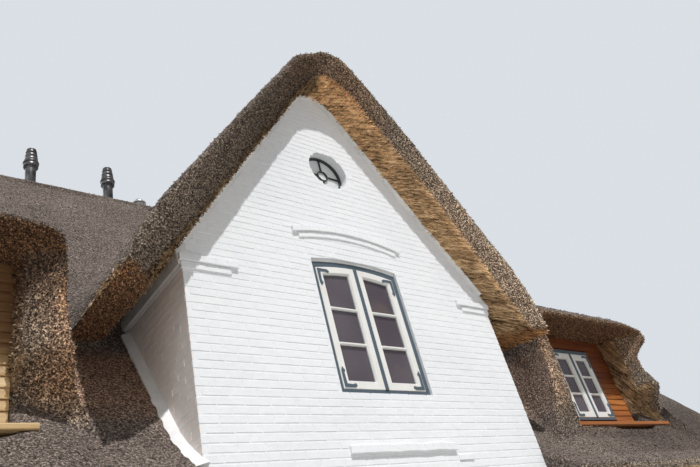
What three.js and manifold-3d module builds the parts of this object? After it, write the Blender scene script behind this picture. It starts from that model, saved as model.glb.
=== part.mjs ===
// A thatched cottage with a white brick gable, two thatched dormers and a hipped reed roof.
// Millimetres, +Z up. The origin is the middle of the plan at ground level,
// +X runs to the right along the front and +Y runs into the house.
import * as THREE from "three";
import { mergeVertices } from "three/addons/utils/BufferGeometryUtils.js";
import Module from "manifold-3d";

const wasm = await Module();
wasm.setup();

// Driving dimensions of the house
const HOUSE_LENGTH = 18000;
const HOUSE_DEPTH = 7800;
const WALL_THICKNESS = 360;
const WALL_TOP = 2500;
const FLOOR_TOP = 150;
const ATTIC_FLOOR_THICKNESS = 140;
const ATTIC_FLOOR_SET_IN = 280;
const GAP = 0.3;
const SLACK = 100;

// Main roof
const ROOF_PITCH = 56.8;
const ROOF_PEAK = 8720;
const ROOF_THATCH = 330;
const RIDGE_FLAT = 8300;
const SWEEP_START_DEPTH = 350;
const EAVES_PITCH = 31;
const EAVES_OUT = 500;
const EAVES_TOP = 2620;
const EAVES_LOWER_OUT = 300;
const EAVES_LOWER = 2360;
const SWEEP_STEPS = 6;
const BEARING = 120;
const RAFTER_FOOT = 620;

// Ridge roll
const RIDGE_TOP = 8500;
const RIDGE_REACH = 550;
const RIDGE_ROLL = 45;
const RIDGE_PAST_HIP = 250;

// Front gable
const GABLE_WIDTH = 4100;
const GABLE_PITCH = 55;
const GABLE_SOFFIT_PEAK = 7820;
const GABLE_CROWN = 330;
const GABLE_THATCH = 360;
const GABLE_SIDE_TOP = 4640;
const GABLE_KNEE = 250;
const VERGE_OUT = 500;
const VERGE_LOWER_OUT = 280;
const CROWN_STEPS = 12;
const CHEEK_THICKNESS = 300;
const CHEEK_FOOT = 340;
const CHEEK_FOOT_RISE = 210;

// Window of the gable, with a flat segmental arch
const WINDOW_WIDTH = 1190;
const WINDOW_SILL = 3520;
const WINDOW_SPRING = 5000;
const ARCH_RISE = 55;
const ARCH_STEPS = 8;
const FRAME_SET_BACK = 30;
const FRAME_WIDTH = 55;
const FRAME_DEPTH = 40;
const SASH_PROUD = 5;
const SASH_WIDTH = 88;
const GLASS_THICKNESS = 12;

// Round window high in the gable
const ROUND_CENTRE = 6370;
const ROUND_RADIUS = 275;
const ROUND_FRAME = 48;
const ROUND_SET_BACK = 100;
const ROUND_STEPS = 32;

// Front door under the gable
const DOOR_WIDTH = 1040;
const DOOR_SPRING = 2560;
const DOOR_LEAF_TOP = 2120;
const DOOR_FRAME = 70;
const DOOR_FRAME_DEPTH = 70;
const DOOR_SET_BACK = 15;
const DOOR_LEAF = 50;

// Ground floor windows
const LOW_WINDOW_SILL = 850;
const LOW_WINDOW_SPRING = 2080;
const FRONT_WINDOWS = [3450, 6450];
const REAR_WINDOWS = [-6450, -2150, 2150, 6450];
const END_WINDOWS = [-1500, 1500];
const BOARD_THICKNESS = 30;
const BOARD_REACH = 90;

// Brick mouldings
const COURSE = 70;
const COURSE_OUT = 35;
const LOWER_COURSE_OUT = 17;
const HOOD_HALF = 765;
const HOOD_END_TOP = 5355;
const HOOD_RISE = 102;
const LOWER_COURSE_SHORTER = 75;
const DOOR_HOOD_HALF = 670;
const DOOR_HOOD_TOP = 3030;
const CORNICE_LENGTH = 550;
const CORNICE_TOP = 4762;
const CORNICE_PAST_ROOF = 200;

// Dormers
const DORMER_CENTRE = 4360;
const DORMER_HALF = 1000;
const DORMER_FACE = 450;
const DORMER_BOARD = 50;
const DORMER_SILL_TOP = 3330;
const DORMER_SILL = 60;
const DORMER_SILL_OUT = 250;
const DORMER_SILL_HALF = 1300;
const DORMER_CEILING = 4720;
const DORMER_PITCH = 38;
const DORMER_WINDOW_WIDTH = 1010;
const DORMER_WINDOW_SILL = 3440;
const DORMER_WINDOW_TOP = 4500;
const DORMER_FRAME_WIDTH = 78;
const DORMER_FRAME_PROUD = 10;
const DORMER_FRAME_DEPTH = 60;
const GLASS_LAP = 20;

// Thatch cowl round a dormer: its mouth, its cheeks and its nose
const COWL_OUT = 200;
const COWL_HALF = 1400;
const COWL_TOP_HALF = 1360;
const COWL_CORNER = 230;
const COWL_CROWN = 4900;
const COWL_LIP = 4670;
const COWL_NOSE_FLAT = 100;
const COWL_RISE_START = 4200;
const COWL_FLARE_BEND = 3500;
const COWL_FOOT = 2950;
const COWL_FOOT_HALF = 1900;
const COWL_BACK = 3400;
const MOUTH_HALF = 1190;
const CHEEK_OUT = 60;
const CHEEK_TOP = 4300;
const CHEEK_CORNER = 1300;
const CHEEK_SHOULDER = 1620;
const CHEEK_SHOULDER_DEPTH = 160;
const CHEEK_TOE_DEPTH = 250;
const APRON_OUT = 150;
const APRON_FOOT = 2870;
const APRON_BEHIND_SILL = 20;
const APRON_HALF = 1300;
const COWL_STEPS = 6;

// Vent pipes behind the ridge: place along the ridge, top and shape
const PIPES = [
  { x: -2280, top: 9420, shape: "tall" },
  { x: -1060, top: 9400, shape: "tall" },
  { x: -520, top: 8880, shape: "low" },
];
const PIPE_RADIUS = 80;
const PIPE_BEHIND_RIDGE = 250;
const PIPE_DEPTH_IN_ROOF = 500;
const PIPE_STEPS = 20;

// Rings of a pipe's head: distance below the top, radius
const PIPE_HEADS = {
  tall: [
    [380, PIPE_RADIUS],
    [355, 118],
    [310, 120],
    [285, 104],
    [200, 100],
    [120, 92],
    [45, 82],
    [0, 66],
  ],
  low: [
    [130, PIPE_RADIUS],
    [120, 116],
    [85, 116],
    [35, 88],
    [0, 40],
  ],
};

// Derived values
const FRONT = -HOUSE_DEPTH / 2;
const HALF_LENGTH = HOUSE_LENGTH / 2;
const HALF_DEPTH = HOUSE_DEPTH / 2;
const GABLE_HALF = GABLE_WIDTH / 2;
const ATTIC_FLOOR_TOP = WALL_TOP + GAP + ATTIC_FLOOR_THICKNESS;
const tanOf = (degrees) => Math.tan(THREE.MathUtils.degToRad(degrees));
const cosOf = (degrees) => Math.cos(THREE.MathUtils.degToRad(degrees));
const sinOf = (degrees) => Math.sin(THREE.MathUtils.degToRad(degrees));

// Finishes
const finish = (color, roughness, metalness = 0) => ({ color, roughness, metalness });
const THATCH = finish(0x7a6b5c, 0.95);
const WHITE_BRICK = finish(0xecebe6, 0.8);
const BLUE_GREY = finish(0x4d5762, 0.5);
const OFF_WHITE = finish(0xe6e4dc, 0.45);
const GLASS = finish(0x5c5560, 0.1);
const BOARDS = finish(0xb4692c, 0.6);
const DARK_METAL = finish(0x2b2e31, 0.45, 0.6);
const SCREED = finish(0x9b968c, 0.9);
const DECK = finish(0xa8865c, 0.8);
const DOOR_PAINT = finish(0x3f4d5a, 0.45);

// A closed geometry as a solid that can be joined and cut
function solidOf(geometry) {
  const bare = geometry.clone();
  bare.deleteAttribute("normal");
  bare.deleteAttribute("uv");
  const merged = mergeVertices(bare, 1e-3);
  return new wasm.Manifold(
    new wasm.Mesh({
      numProp: 3,
      vertProperties: Float32Array.from(merged.attributes.position.array),
      triVerts: Uint32Array.from(merged.index.array),
    }),
  );
}

function geometryOf(solid) {
  const made = solid.getMesh();
  const positions = new Float32Array(made.numVert * 3);
  for (let i = 0; i < made.numVert; i++) {
    const start = i * made.numProp;
    positions.set(made.vertProperties.subarray(start, start + 3), i * 3);
  }
  const geometry = new THREE.BufferGeometry();
  geometry.setAttribute("position", new THREE.BufferAttribute(positions, 3));
  geometry.setIndex(new THREE.BufferAttribute(Uint32Array.from(made.triVerts), 1));
  geometry.computeVertexNormals();
  return geometry;
}

function extruded(points, length, steps = 1) {
  const shape = new THREE.Shape(points.map(([u, v]) => new THREE.Vector2(u, v)));
  return new THREE.ExtrudeGeometry(shape, { depth: length, bevelEnabled: false, steps });
}

// Outline of (y, z) points run along X
function alongX(points, x0, x1) {
  const geometry = extruded(points, x1 - x0);
  const turn = new THREE.Matrix4().makeBasis(
    new THREE.Vector3(0, 1, 0),
    new THREE.Vector3(0, 0, 1),
    new THREE.Vector3(1, 0, 0),
  );
  geometry.applyMatrix4(turn.setPosition(x0, 0, 0));
  return geometry;
}

// Outline of (x, z) points run along Y
function alongY(points, y0, y1) {
  const geometry = extruded(points, y1 - y0);
  const turn = new THREE.Matrix4().makeBasis(
    new THREE.Vector3(1, 0, 0),
    new THREE.Vector3(0, 0, 1),
    new THREE.Vector3(0, -1, 0),
  );
  geometry.applyMatrix4(turn.setPosition(0, y1, 0));
  return geometry;
}

// Outline of (x, y) points run up Z
function upZ(points, z0, z1, steps = 1) {
  return extruded(points, z1 - z0, steps).translate(0, 0, z0);
}

// An upright panel of (x, z) outline with openings cut through it
function panel(points, y0, y1, holes = []) {
  const cut = (rest, hole) => rest.subtract(solidOf(alongY(hole, y0 - 1, y1 + 1)));
  return holes.reduce(cut, solidOf(alongY(points, y0, y1)));
}

function block(x0, x1, y0, y1, z0, z1) {
  const geometry = new THREE.BoxGeometry(x1 - x0, y1 - y0, z1 - z0);
  return geometry.translate((x0 + x1) / 2, (y0 + y1) / 2, (z0 + z1) / 2);
}

const turned = (solid, degrees) => solid.rotate([0, 0, degrees]);
const mirrored = (solid) => solid.mirror([1, 0, 0]);
const fromFront = (points) => points.map(([depth, z]) => [FRONT + depth, z]);

// Main roof: heights over the distance in from the wall face
const roofLine = (depth) => ROOF_PEAK - tanOf(ROOF_PITCH) * (HALF_DEPTH - depth);
const roofInnerLine = (depth) => roofLine(depth) - ROOF_THATCH / cosOf(ROOF_PITCH);
const depthAt = (z, line) => HALF_DEPTH - (line(HALF_DEPTH) - z) / tanOf(ROOF_PITCH);

// The foot of the roof sweeps out over the wall in one curve
function sweepCurve() {
  const start = new THREE.Vector2(SWEEP_START_DEPTH, roofLine(SWEEP_START_DEPTH));
  const end = new THREE.Vector2(-EAVES_OUT, EAVES_TOP);
  const span = start.x - end.x;
  const back = (end.y + tanOf(EAVES_PITCH) * span - start.y) / (tanOf(EAVES_PITCH) - tanOf(ROOF_PITCH));
  const bend = new THREE.Vector2(start.x - back, start.y - tanOf(ROOF_PITCH) * back);
  return new THREE.QuadraticBezierCurve(end, bend, start).getPoints(SWEEP_STEPS);
}

function roofTopOutline() {
  return sweepCurve().map((point) => [point.x, point.y]);
}

function roofSection() {
  return [
    ...roofTopOutline(),
    [depthAt(RIDGE_FLAT, roofLine), RIDGE_FLAT],
    [HALF_DEPTH, RIDGE_FLAT],
    [HALF_DEPTH, roofInnerLine(HALF_DEPTH)],
    [RAFTER_FOOT, roofInnerLine(RAFTER_FOOT)],
    [BEARING, WALL_TOP + GAP],
    [0, WALL_TOP + GAP],
    [-EAVES_LOWER_OUT, EAVES_LOWER],
  ];
}

// One slope, built as the front one, with its wall face at y = -reach and 45 degree hips
function slope(reach, halfRun) {
  const section = roofSection().map(([depth, z]) => [depth - reach, z]);
  const out = EAVES_OUT + SLACK;
  const slab = solidOf(alongX(section, -halfRun - out, halfRun + out));
  const ridgeHalf = halfRun - HALF_DEPTH;
  const plan = [
    [-halfRun - out + GAP, -reach - out],
    [halfRun + out - GAP, -reach - out],
    [ridgeHalf + GAP, -reach + HALF_DEPTH - GAP],
    [-ridgeHalf - GAP, -reach + HALF_DEPTH - GAP],
  ];
  return slab.intersect(solidOf(upZ(plan, 0, ROOF_PEAK)));
}

// Everything under the roof's top surface, a hair thicker, to cut what lands on the roof
function roofFill() {
  const top = roofTopOutline().map(([depth, z]) => [depth, z + GAP / cosOf(ROOF_PITCH)]);
  const half = [[-EAVES_OUT, 0], ...top, [HALF_DEPTH, ROOF_PEAK + GAP / cosOf(ROOF_PITCH)]];
  const rear = [...half].reverse().slice(1);
  const outline = [...half, ...rear.map(([depth, z]) => [HOUSE_DEPTH - depth, z])];
  return solidOf(alongX(fromFront(outline), -HALF_LENGTH, HALF_LENGTH));
}

// Ridge roll: a saddle on the two slopes with a round top
function ridgeOutline(lift) {
  const angle = ROOF_PITCH;
  const peak = ROOF_PEAK + (RIDGE_ROLL + lift) / cosOf(angle);
  const radius = (peak - RIDGE_TOP - lift) / (1 / cosOf(angle) - 1);
  const centre = peak - radius / cosOf(angle);
  const arc = [];
  for (let i = 0; i <= CROWN_STEPS; i++) {
    const turn = -angle + (2 * angle * i) / CROWN_STEPS;
    arc.push([radius * sinOf(turn), centre + radius * cosOf(turn)]);
  }
  const foot = RIDGE_REACH + RIDGE_ROLL * sinOf(angle);
  const footZ = peak - tanOf(angle) * foot;
  return [[-foot, footZ], ...arc, [foot, footZ]];
}

function ridgeRoll() {
  const slopeZ = (y) => ROOF_PEAK + GAP / cosOf(ROOF_PITCH) - tanOf(ROOF_PITCH) * y;
  const shoulder = (ROOF_PEAK - RIDGE_FLAT) / tanOf(ROOF_PITCH);
  const outline = [
    ...ridgeOutline(0),
    [RIDGE_REACH, slopeZ(RIDGE_REACH)],
    [shoulder, RIDGE_FLAT + GAP],
    [-shoulder, RIDGE_FLAT + GAP],
    [-RIDGE_REACH, slopeZ(RIDGE_REACH)],
  ];
  const end = HALF_LENGTH - HALF_DEPTH + RIDGE_PAST_HIP;
  const roll = solidOf(alongX(outline, -end, end));
  return roll.subtract(hipFill(1)).subtract(hipFill(-1));
}

// Everything under the ridge roll's top surface, a hair thicker
function ridgeFill() {
  const outline = ridgeOutline(GAP);
  const foot = outline[0][0];
  return solidOf(alongX([...outline, [-foot, 0], [foot, 0]], -HALF_LENGTH, HALF_LENGTH));
}

// Everything under the top surface of one hip end, a hair thicker
function hipFill(side) {
  const lift = GAP / cosOf(ROOF_PITCH);
  const top = -HALF_LENGTH + HALF_DEPTH;
  const wedge = [
    [-HALF_LENGTH, 0],
    [-HALF_LENGTH, roofLine(0) + lift],
    [top, ROOF_PEAK + lift],
    [top, 0],
  ];
  const whole = turned(solidOf(alongX(wedge, -HALF_DEPTH, HALF_DEPTH)), 90 * side);
  const flat = block(-HALF_LENGTH, HALF_LENGTH, -HALF_DEPTH, HALF_DEPTH, 0, RIDGE_FLAT + GAP);
  return whole.intersect(solidOf(flat));
}

// Gable: the line of its soffit, moved out by a distance, as the right half from foot to crown
function gableHalf(offset) {
  const radius = GABLE_CROWN + offset;
  const centre = GABLE_SOFFIT_PEAK - GABLE_CROWN / cosOf(GABLE_PITCH);
  const points = [];
  for (let i = 0; i <= CROWN_STEPS / 2; i++) {
    const turn = GABLE_PITCH * (1 - (2 * i) / CROWN_STEPS);
    points.push([radius * sinOf(turn), centre + radius * cosOf(turn)]);
  }
  return points;
}

const gableLine = (x, offset) =>
  GABLE_SOFFIT_PEAK + offset / cosOf(GABLE_PITCH) - tanOf(GABLE_PITCH) * x;
const bothSides = (half) => [...half, ...half.slice(0, -1).reverse().map(([x, z]) => [-x, z])];

// Outline of the gable wall and of the room under the gable's thatch
function gableOutline(offset) {
  const kneeX = GABLE_HALF - GABLE_KNEE;
  return bothSides([
    [GABLE_HALF + offset, 0],
    [GABLE_HALF + offset, GABLE_SIDE_TOP + offset],
    [kneeX + offset, gableLine(kneeX, offset)],
    ...gableHalf(offset),
  ]);
}

// Soffit and eaves of the gable's thatch, right half, from the outer slope round to the crown
const GABLE_EAVES = {
  slopeEnd: 2500,
  noseX: 2640,
  noseZ: 4640,
  tipX: 2720,
  tipZ: 4380,
  backX: 2300,
  backZ: 4450,
};

function gableThatchSection() {
  const kneeX = GABLE_HALF - GABLE_KNEE;
  const outer = [
    ...gableHalf(GABLE_THATCH).reverse(),
    [GABLE_EAVES.slopeEnd, gableLine(GABLE_EAVES.slopeEnd, GABLE_THATCH)],
    [GABLE_EAVES.noseX, GABLE_EAVES.noseZ],
    [GABLE_EAVES.tipX, GABLE_EAVES.tipZ],
  ];
  const inner = [
    [GABLE_EAVES.backX, GABLE_EAVES.backZ],
    [GABLE_HALF, GABLE_SIDE_TOP + GAP],
    [kneeX, gableLine(kneeX, GAP)],
    ...gableHalf(GAP),
  ];
  const right = [...outer, ...inner];
  const left = [...right].reverse().slice(1, -1).map(([x, z]) => [-x, z]);
  return [...right, ...left];
}

// The verge leans back: its inner arris lies further in than its outer one
function gableThatch() {
  const geometry = alongY(gableThatchSection(), FRONT - VERGE_OUT, 0);
  const crownCentre = GABLE_SOFFIT_PEAK - GABLE_CROWN / cosOf(GABLE_PITCH);
  const crownFoot = gableHalf(0)[0][1];
  const middle = GABLE_THATCH / 2;
  const place = geometry.attributes.position;
  for (let i = 0; i < place.count; i++) {
    const x = Math.abs(place.getX(i));
    const z = place.getZ(i);
    const underLine = z < gableLine(x, middle) && x < GABLE_EAVES.noseX;
    const inCrown = z > crownFoot && Math.hypot(x, z - crownCentre) < GABLE_CROWN + middle;
    const inner = z > crownFoot ? inCrown : underLine;
    if (place.getY(i) < FRONT && inner) {
      place.setY(i, FRONT - VERGE_LOWER_OUT);
    }
  }
  return solidOf(geometry).subtract(roofFill()).subtract(ridgeFill());
}

// Room under the gable, used to open the main roof behind it
function gableRoom() {
  return solidOf(alongY(gableOutline(GAP), FRONT - EAVES_OUT - SLACK, 0));
}

function gableCheek(side) {
  const inner = GABLE_HALF - CHEEK_THICKNESS;
  const edge = WALL_THICKNESS + GAP;
  const outline = [
    [edge, ATTIC_FLOOR_TOP + GAP],
    [edge, GABLE_SOFFIT_PEAK],
    [depthAt(GABLE_SOFFIT_PEAK, roofInnerLine) + CHEEK_FOOT, GABLE_SOFFIT_PEAK],
    [edge + CHEEK_FOOT, roofInnerLine(edge) + CHEEK_FOOT_RISE],
    [edge + CHEEK_FOOT, ATTIC_FLOOR_TOP + GAP],
  ];
  const strip = solidOf(alongX(fromFront(outline), inner, GABLE_HALF));
  const under = solidOf(alongY(gableOutline(0), FRONT, FRONT + HALF_DEPTH));
  const cheek = strip.intersect(under);
  return side > 0 ? cheek : mirrored(cheek);
}

// Openings
function archedOutline(centre, width, sill, spring, rise, inset = 0) {
  const half = width / 2 - inset;
  const points = [
    [centre - half, sill + inset],
    [centre + half, sill + inset],
  ];
  for (let i = 0; i <= ARCH_STEPS; i++) {
    const along = 1 - (2 * i) / ARCH_STEPS;
    points.push([centre + half * along, spring - inset + rise * (1 - along * along)]);
  }
  return points;
}

function circleOutline(centre, radius, steps) {
  const points = [];
  for (let i = 0; i < steps; i++) {
    const turn = (2 * Math.PI * i) / steps;
    points.push([radius * Math.cos(turn), centre + radius * Math.sin(turn)]);
  }
  return points;
}

const GABLE_OPENING = { centre: 0, sill: WINDOW_SILL, spring: WINDOW_SPRING };
const lowOpening = (centre) => ({ centre, sill: LOW_WINDOW_SILL, spring: LOW_WINDOW_SPRING });
const windowOutline = ({ centre, sill, spring }, inset) =>
  archedOutline(centre, WINDOW_WIDTH, sill, spring, ARCH_RISE, inset);
const doorway = (inset) => archedOutline(0, DOOR_WIDTH, FLOOR_TOP, DOOR_SPRING, ARCH_RISE, inset);

// One of the two lights of a window, side by side of a centre strip, drawn in by an inset
function sashOutline({ centre, sill, spring }, side, inset) {
  const low = sill + FRAME_WIDTH + inset;
  const x0 = FRAME_WIDTH / 2 + inset;
  const x1 = WINDOW_WIDTH / 2 - FRAME_WIDTH - inset;
  const top = (x) => spring - FRAME_WIDTH - inset + ARCH_RISE * (1 - (x / (WINDOW_WIDTH / 2)) ** 2);
  const points = [
    [centre + side * x0, low],
    [centre + side * x1, low],
  ];
  for (let i = 0; i <= ARCH_STEPS / 2; i++) {
    const x = x1 + ((x0 - x1) * i * 2) / ARCH_STEPS;
    points.push([centre + side * x, top(x)]);
  }
  return points;
}

function gableWall() {
  const roundHole = circleOutline(ROUND_CENTRE, ROUND_RADIUS, ROUND_STEPS);
  const holes = [windowOutline(GABLE_OPENING, 0), roundHole, doorway(0)];
  return panel(gableOutline(0), FRONT, FRONT + WALL_THICKNESS, holes);
}

function plainWall(x0, x1, windows) {
  const outline = [
    [x0, 0],
    [x1, 0],
    [x1, WALL_TOP],
    [x0, WALL_TOP],
  ];
  const holes = windows.map((centre) => windowOutline(lowOpening(centre), 0));
  return panel(outline, FRONT, FRONT + WALL_THICKNESS, holes);
}

const END_SHIFT = HALF_LENGTH - HALF_DEPTH;
const toRear = (solid) => turned(solid, 180);
const toEnd = (solid, side) => turned(solid.translate([0, -END_SHIFT, 0]), 90 * side);

function endWall(side) {
  const half = HALF_DEPTH - WALL_THICKNESS - GAP;
  return toEnd(plainWall(-half, half, END_WINDOWS), side);
}

// A row of ground floor windows, joined on the room side by their window board
function windowRow(centres) {
  const frameFront = FRONT + FRAME_SET_BACK;
  const frameBack = frameFront + FRAME_DEPTH;
  const sill = LOW_WINDOW_SILL + GAP;
  const half = WINDOW_WIDTH / 2 - GAP;
  const room = FRONT + WALL_THICKNESS + GAP;
  const first = Math.min(...centres) - half;
  const last = Math.max(...centres) + half;
  let row = solidOf(block(first, last, room, room + BOARD_REACH, sill, sill + BOARD_THICKNESS));
  for (const centre of centres) {
    const opening = lowOpening(centre);
    const lights = [1, -1].map((side) => sashOutline(opening, side, 0));
    const frame = panel(windowOutline(opening, GAP), frameFront, frameBack, lights);
    const pane = alongY(windowOutline(opening, FRAME_WIDTH / 2), frameBack - GLASS_THICKNESS, frameBack);
    const tongue = block(centre - half, centre + half, frameBack - 1, room + 1, sill, sill + BOARD_THICKNESS);
    row = row.add(frame).add(solidOf(pane)).add(solidOf(tongue));
  }
  return row;
}

// Gable window: outer frame with a centre strip, two sashes and the glass behind them
function gableWindowFrame() {
  const lights = [1, -1].map((side) => sashOutline(GABLE_OPENING, side, 0));
  const front = FRONT + FRAME_SET_BACK;
  return panel(windowOutline(GABLE_OPENING, GAP), front, front + FRAME_DEPTH, lights);
}

function gableSash(side) {
  const front = FRONT + FRAME_SET_BACK - SASH_PROUD;
  const back = FRONT + FRAME_SET_BACK + FRAME_DEPTH;
  const light = sashOutline(GABLE_OPENING, side, SASH_WIDTH);
  return panel(sashOutline(GABLE_OPENING, side, GAP), front, back, [light]);
}

function gableGlass() {
  const front = FRONT + FRAME_SET_BACK + FRAME_DEPTH + GAP;
  return solidOf(alongY(windowOutline(GABLE_OPENING, GAP), front, front + GLASS_THICKNESS));
}

function roundFrame() {
  const front = FRONT + ROUND_SET_BACK;
  const outer = circleOutline(ROUND_CENTRE, ROUND_RADIUS - GAP * 2, ROUND_STEPS);
  const inner = circleOutline(ROUND_CENTRE, ROUND_RADIUS - ROUND_FRAME, ROUND_STEPS);
  return panel(outer, front, front + FRAME_DEPTH, [inner]);
}

function roundGlass() {
  const front = FRONT + ROUND_SET_BACK + FRAME_DEPTH + GAP;
  const outline = circleOutline(ROUND_CENTRE, ROUND_RADIUS - GAP * 2, ROUND_STEPS);
  return solidOf(alongY(outline, front, front + GLASS_THICKNESS));
}

// Front door with a light over it
function doorHoles() {
  const half = DOOR_WIDTH / 2 - DOOR_FRAME;
  const leaf = [
    [-half, FLOOR_TOP + DOOR_FRAME / 2],
    [half, FLOOR_TOP + DOOR_FRAME / 2],
    [half, DOOR_LEAF_TOP],
    [-half, DOOR_LEAF_TOP],
  ];
  const light = [
    [-half, DOOR_LEAF_TOP + DOOR_FRAME],
    [half, DOOR_LEAF_TOP + DOOR_FRAME],
    [half, DOOR_SPRING - DOOR_FRAME],
    [-half, DOOR_SPRING - DOOR_FRAME],
  ];
  return { leaf, light };
}

const grownBy = (outline, amount, centreZ) =>
  outline.map(([x, z]) => [x + Math.sign(x) * amount, z + Math.sign(z - centreZ) * amount]);

function doorFrame() {
  const { leaf, light } = doorHoles();
  const front = FRONT + FRAME_SET_BACK;
  return panel(doorway(GAP), front, front + DOOR_FRAME_DEPTH, [leaf, light]);
}

function doorLeaf() {
  const { leaf } = doorHoles();
  const front = FRONT + FRAME_SET_BACK + DOOR_SET_BACK;
  return solidOf(alongY(grownBy(leaf, -GAP, DOOR_LEAF_TOP / 2), front, front + DOOR_LEAF));
}

function doorLight() {
  const { light } = doorHoles();
  const middle = (DOOR_LEAF_TOP + DOOR_SPRING) / 2;
  const front = FRONT + FRAME_SET_BACK + DOOR_FRAME_DEPTH / 2;
  return solidOf(alongY(grownBy(light, -GAP, middle), front, front + GLASS_THICKNESS));
}

// Brick mouldings on the gable
function hoodCourse(half, endTop, rise, out) {
  const points = [];
  for (let i = 0; i <= ARCH_STEPS; i++) {
    const along = 1 - (2 * i) / ARCH_STEPS;
    points.push([half * along, endTop + rise * (1 - along * along)]);
  }
  const lower = [...points].reverse().map(([x, z]) => [x, z - COURSE]);
  return solidOf(alongY([...points, ...lower], FRONT - out, FRONT - GAP));
}

function windowHood() {
  const upper = hoodCourse(HOOD_HALF, HOOD_END_TOP, HOOD_RISE, COURSE_OUT);
  const lowerTop = HOOD_END_TOP - COURSE + 1;
  return upper.add(hoodCourse(HOOD_HALF - LOWER_COURSE_SHORTER, lowerTop, HOOD_RISE, LOWER_COURSE_OUT));
}

const doorHood = () => hoodCourse(DOOR_HOOD_HALF, DOOR_HOOD_TOP, 0, COURSE_OUT);

// Cornice at the foot of the gable's rake, which turns the corner and runs back to the main roof
function cornice(side) {
  const wall = GABLE_HALF + GAP;
  const back = FRONT + depthAt(CORNICE_TOP, roofLine) + CORNICE_PAST_ROOF;
  const courses = [
    { top: CORNICE_TOP, out: COURSE_OUT, length: CORNICE_LENGTH },
    { top: CORNICE_TOP - COURSE + 1, out: LOWER_COURSE_OUT, length: CORNICE_LENGTH - LOWER_COURSE_SHORTER },
  ];
  let made = null;
  for (const { top, out, length } of courses) {
    const front = solidOf(
      block(GABLE_HALF - length, wall + out, FRONT - out, FRONT - GAP, top - COURSE, top),
    );
    const along = solidOf(block(wall, wall + out, FRONT - out, back, top - 2 * COURSE, top - COURSE));
    const corner = solidOf(block(wall, wall + out, FRONT - out, FRONT - GAP, top - 2 * COURSE, top));
    const course = front.add(along).add(corner);
    made = made ? made.add(course) : course;
  }
  const clear = made.intersect(gableSoffitFill()).subtract(roofFill());
  return side > 0 ? clear : mirrored(clear);
}

// Everything under the soffit of the gable's thatch, a hair smaller
function gableSoffitFill() {
  const kneeX = GABLE_HALF - GABLE_KNEE;
  const outline = bothSides([
    [GABLE_EAVES.backX, 0],
    [GABLE_EAVES.backX, GABLE_EAVES.backZ - 2 * GAP],
    [GABLE_HALF, GABLE_SIDE_TOP - GAP],
    [kneeX, gableLine(kneeX, -GAP)],
    ...gableHalf(-GAP),
  ]);
  return solidOf(alongY(outline, FRONT - VERGE_OUT, 0));
}

// Dormers, built on the right and mirrored to the left
function dormerSpace() {
  const half = DORMER_HALF + GAP;
  const low = DORMER_SILL_TOP - DORMER_SILL - GAP;
  const front = FRONT + DORMER_FACE - GAP;
  return solidOf(
    block(DORMER_CENTRE - half, DORMER_CENTRE + half, front, 0, low, DORMER_CEILING + GAP),
  );
}

// Outer outline of a cowl at its mouth: cheeks that flare at the foot, and round top corners
function cowlOutline() {
  const flare = new THREE.QuadraticBezierCurve(
    new THREE.Vector2(COWL_FOOT_HALF, COWL_FOOT),
    new THREE.Vector2(COWL_HALF, COWL_FLARE_BEND),
    new THREE.Vector2(COWL_HALF, COWL_RISE_START),
  );
  const half = flare.getPoints(COWL_STEPS).map((point) => [point.x, point.y]);
  for (let i = 0; i <= COWL_STEPS; i++) {
    const turn = (90 * i) / COWL_STEPS;
    half.push([
      COWL_TOP_HALF + COWL_CORNER * (cosOf(turn) - 1),
      COWL_CROWN + COWL_CORNER * (sinOf(turn) - 1),
    ]);
  }
  return [...half, ...half.map(([x, z]) => [-x, z]).reverse()];
}

// A cowl's outer body, whose top rises towards the main roof
function cowlBody() {
  const geometry = alongY(cowlOutline(), FRONT - COWL_OUT, FRONT + COWL_BACK);
  const place = geometry.attributes.position;
  for (let i = 0; i < place.count; i++) {
    const share = (place.getZ(i) - COWL_RISE_START) / (COWL_CROWN - COWL_RISE_START);
    const rise = tanOf(DORMER_PITCH) * (place.getY(i) - FRONT);
    place.setZ(i, place.getZ(i) + rise * THREE.MathUtils.clamp(share, 0, 1));
  }
  return solidOf(geometry);
}

// What is cut from the front of a cowl: over its nose, and in front of its cheeks
function cowlFront() {
  const wide = COWL_FOOT_HALF + SLACK;
  const noseTop = COWL_CROWN + tanOf(DORMER_PITCH) * COWL_NOSE_FLAT;
  const nose = [
    [-COWL_OUT - SLACK, COWL_LIP + 2 * SLACK],
    [-COWL_OUT - SLACK, COWL_LIP],
    [-COWL_OUT, COWL_LIP],
    [-COWL_OUT / 2, COWL_CROWN - COWL_NOSE_FLAT],
    [COWL_NOSE_FLAT, noseTop],
  ];
  const face = [
    [-COWL_OUT - SLACK, 0],
    [-COWL_OUT - SLACK, COWL_LIP],
    [-COWL_OUT, COWL_LIP],
    [-CHEEK_OUT, CHEEK_TOP],
    [-CHEEK_OUT, 0],
  ];
  const corner = [
    [CHEEK_CORNER, FRONT - SLACK],
    [CHEEK_CORNER, FRONT - CHEEK_OUT - SLACK],
    [wide, FRONT - CHEEK_OUT - SLACK],
    [wide, FRONT + CHEEK_TOE_DEPTH],
    [CHEEK_SHOULDER, FRONT + CHEEK_SHOULDER_DEPTH],
  ];
  const edge = solidOf(upZ(corner, 0, CHEEK_TOP));
  return solidOf(alongX(fromFront(nose), -wide, wide))
    .add(solidOf(alongX(fromFront(face), -wide, wide)))
    .add(edge)
    .add(mirrored(edge));
}

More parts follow.
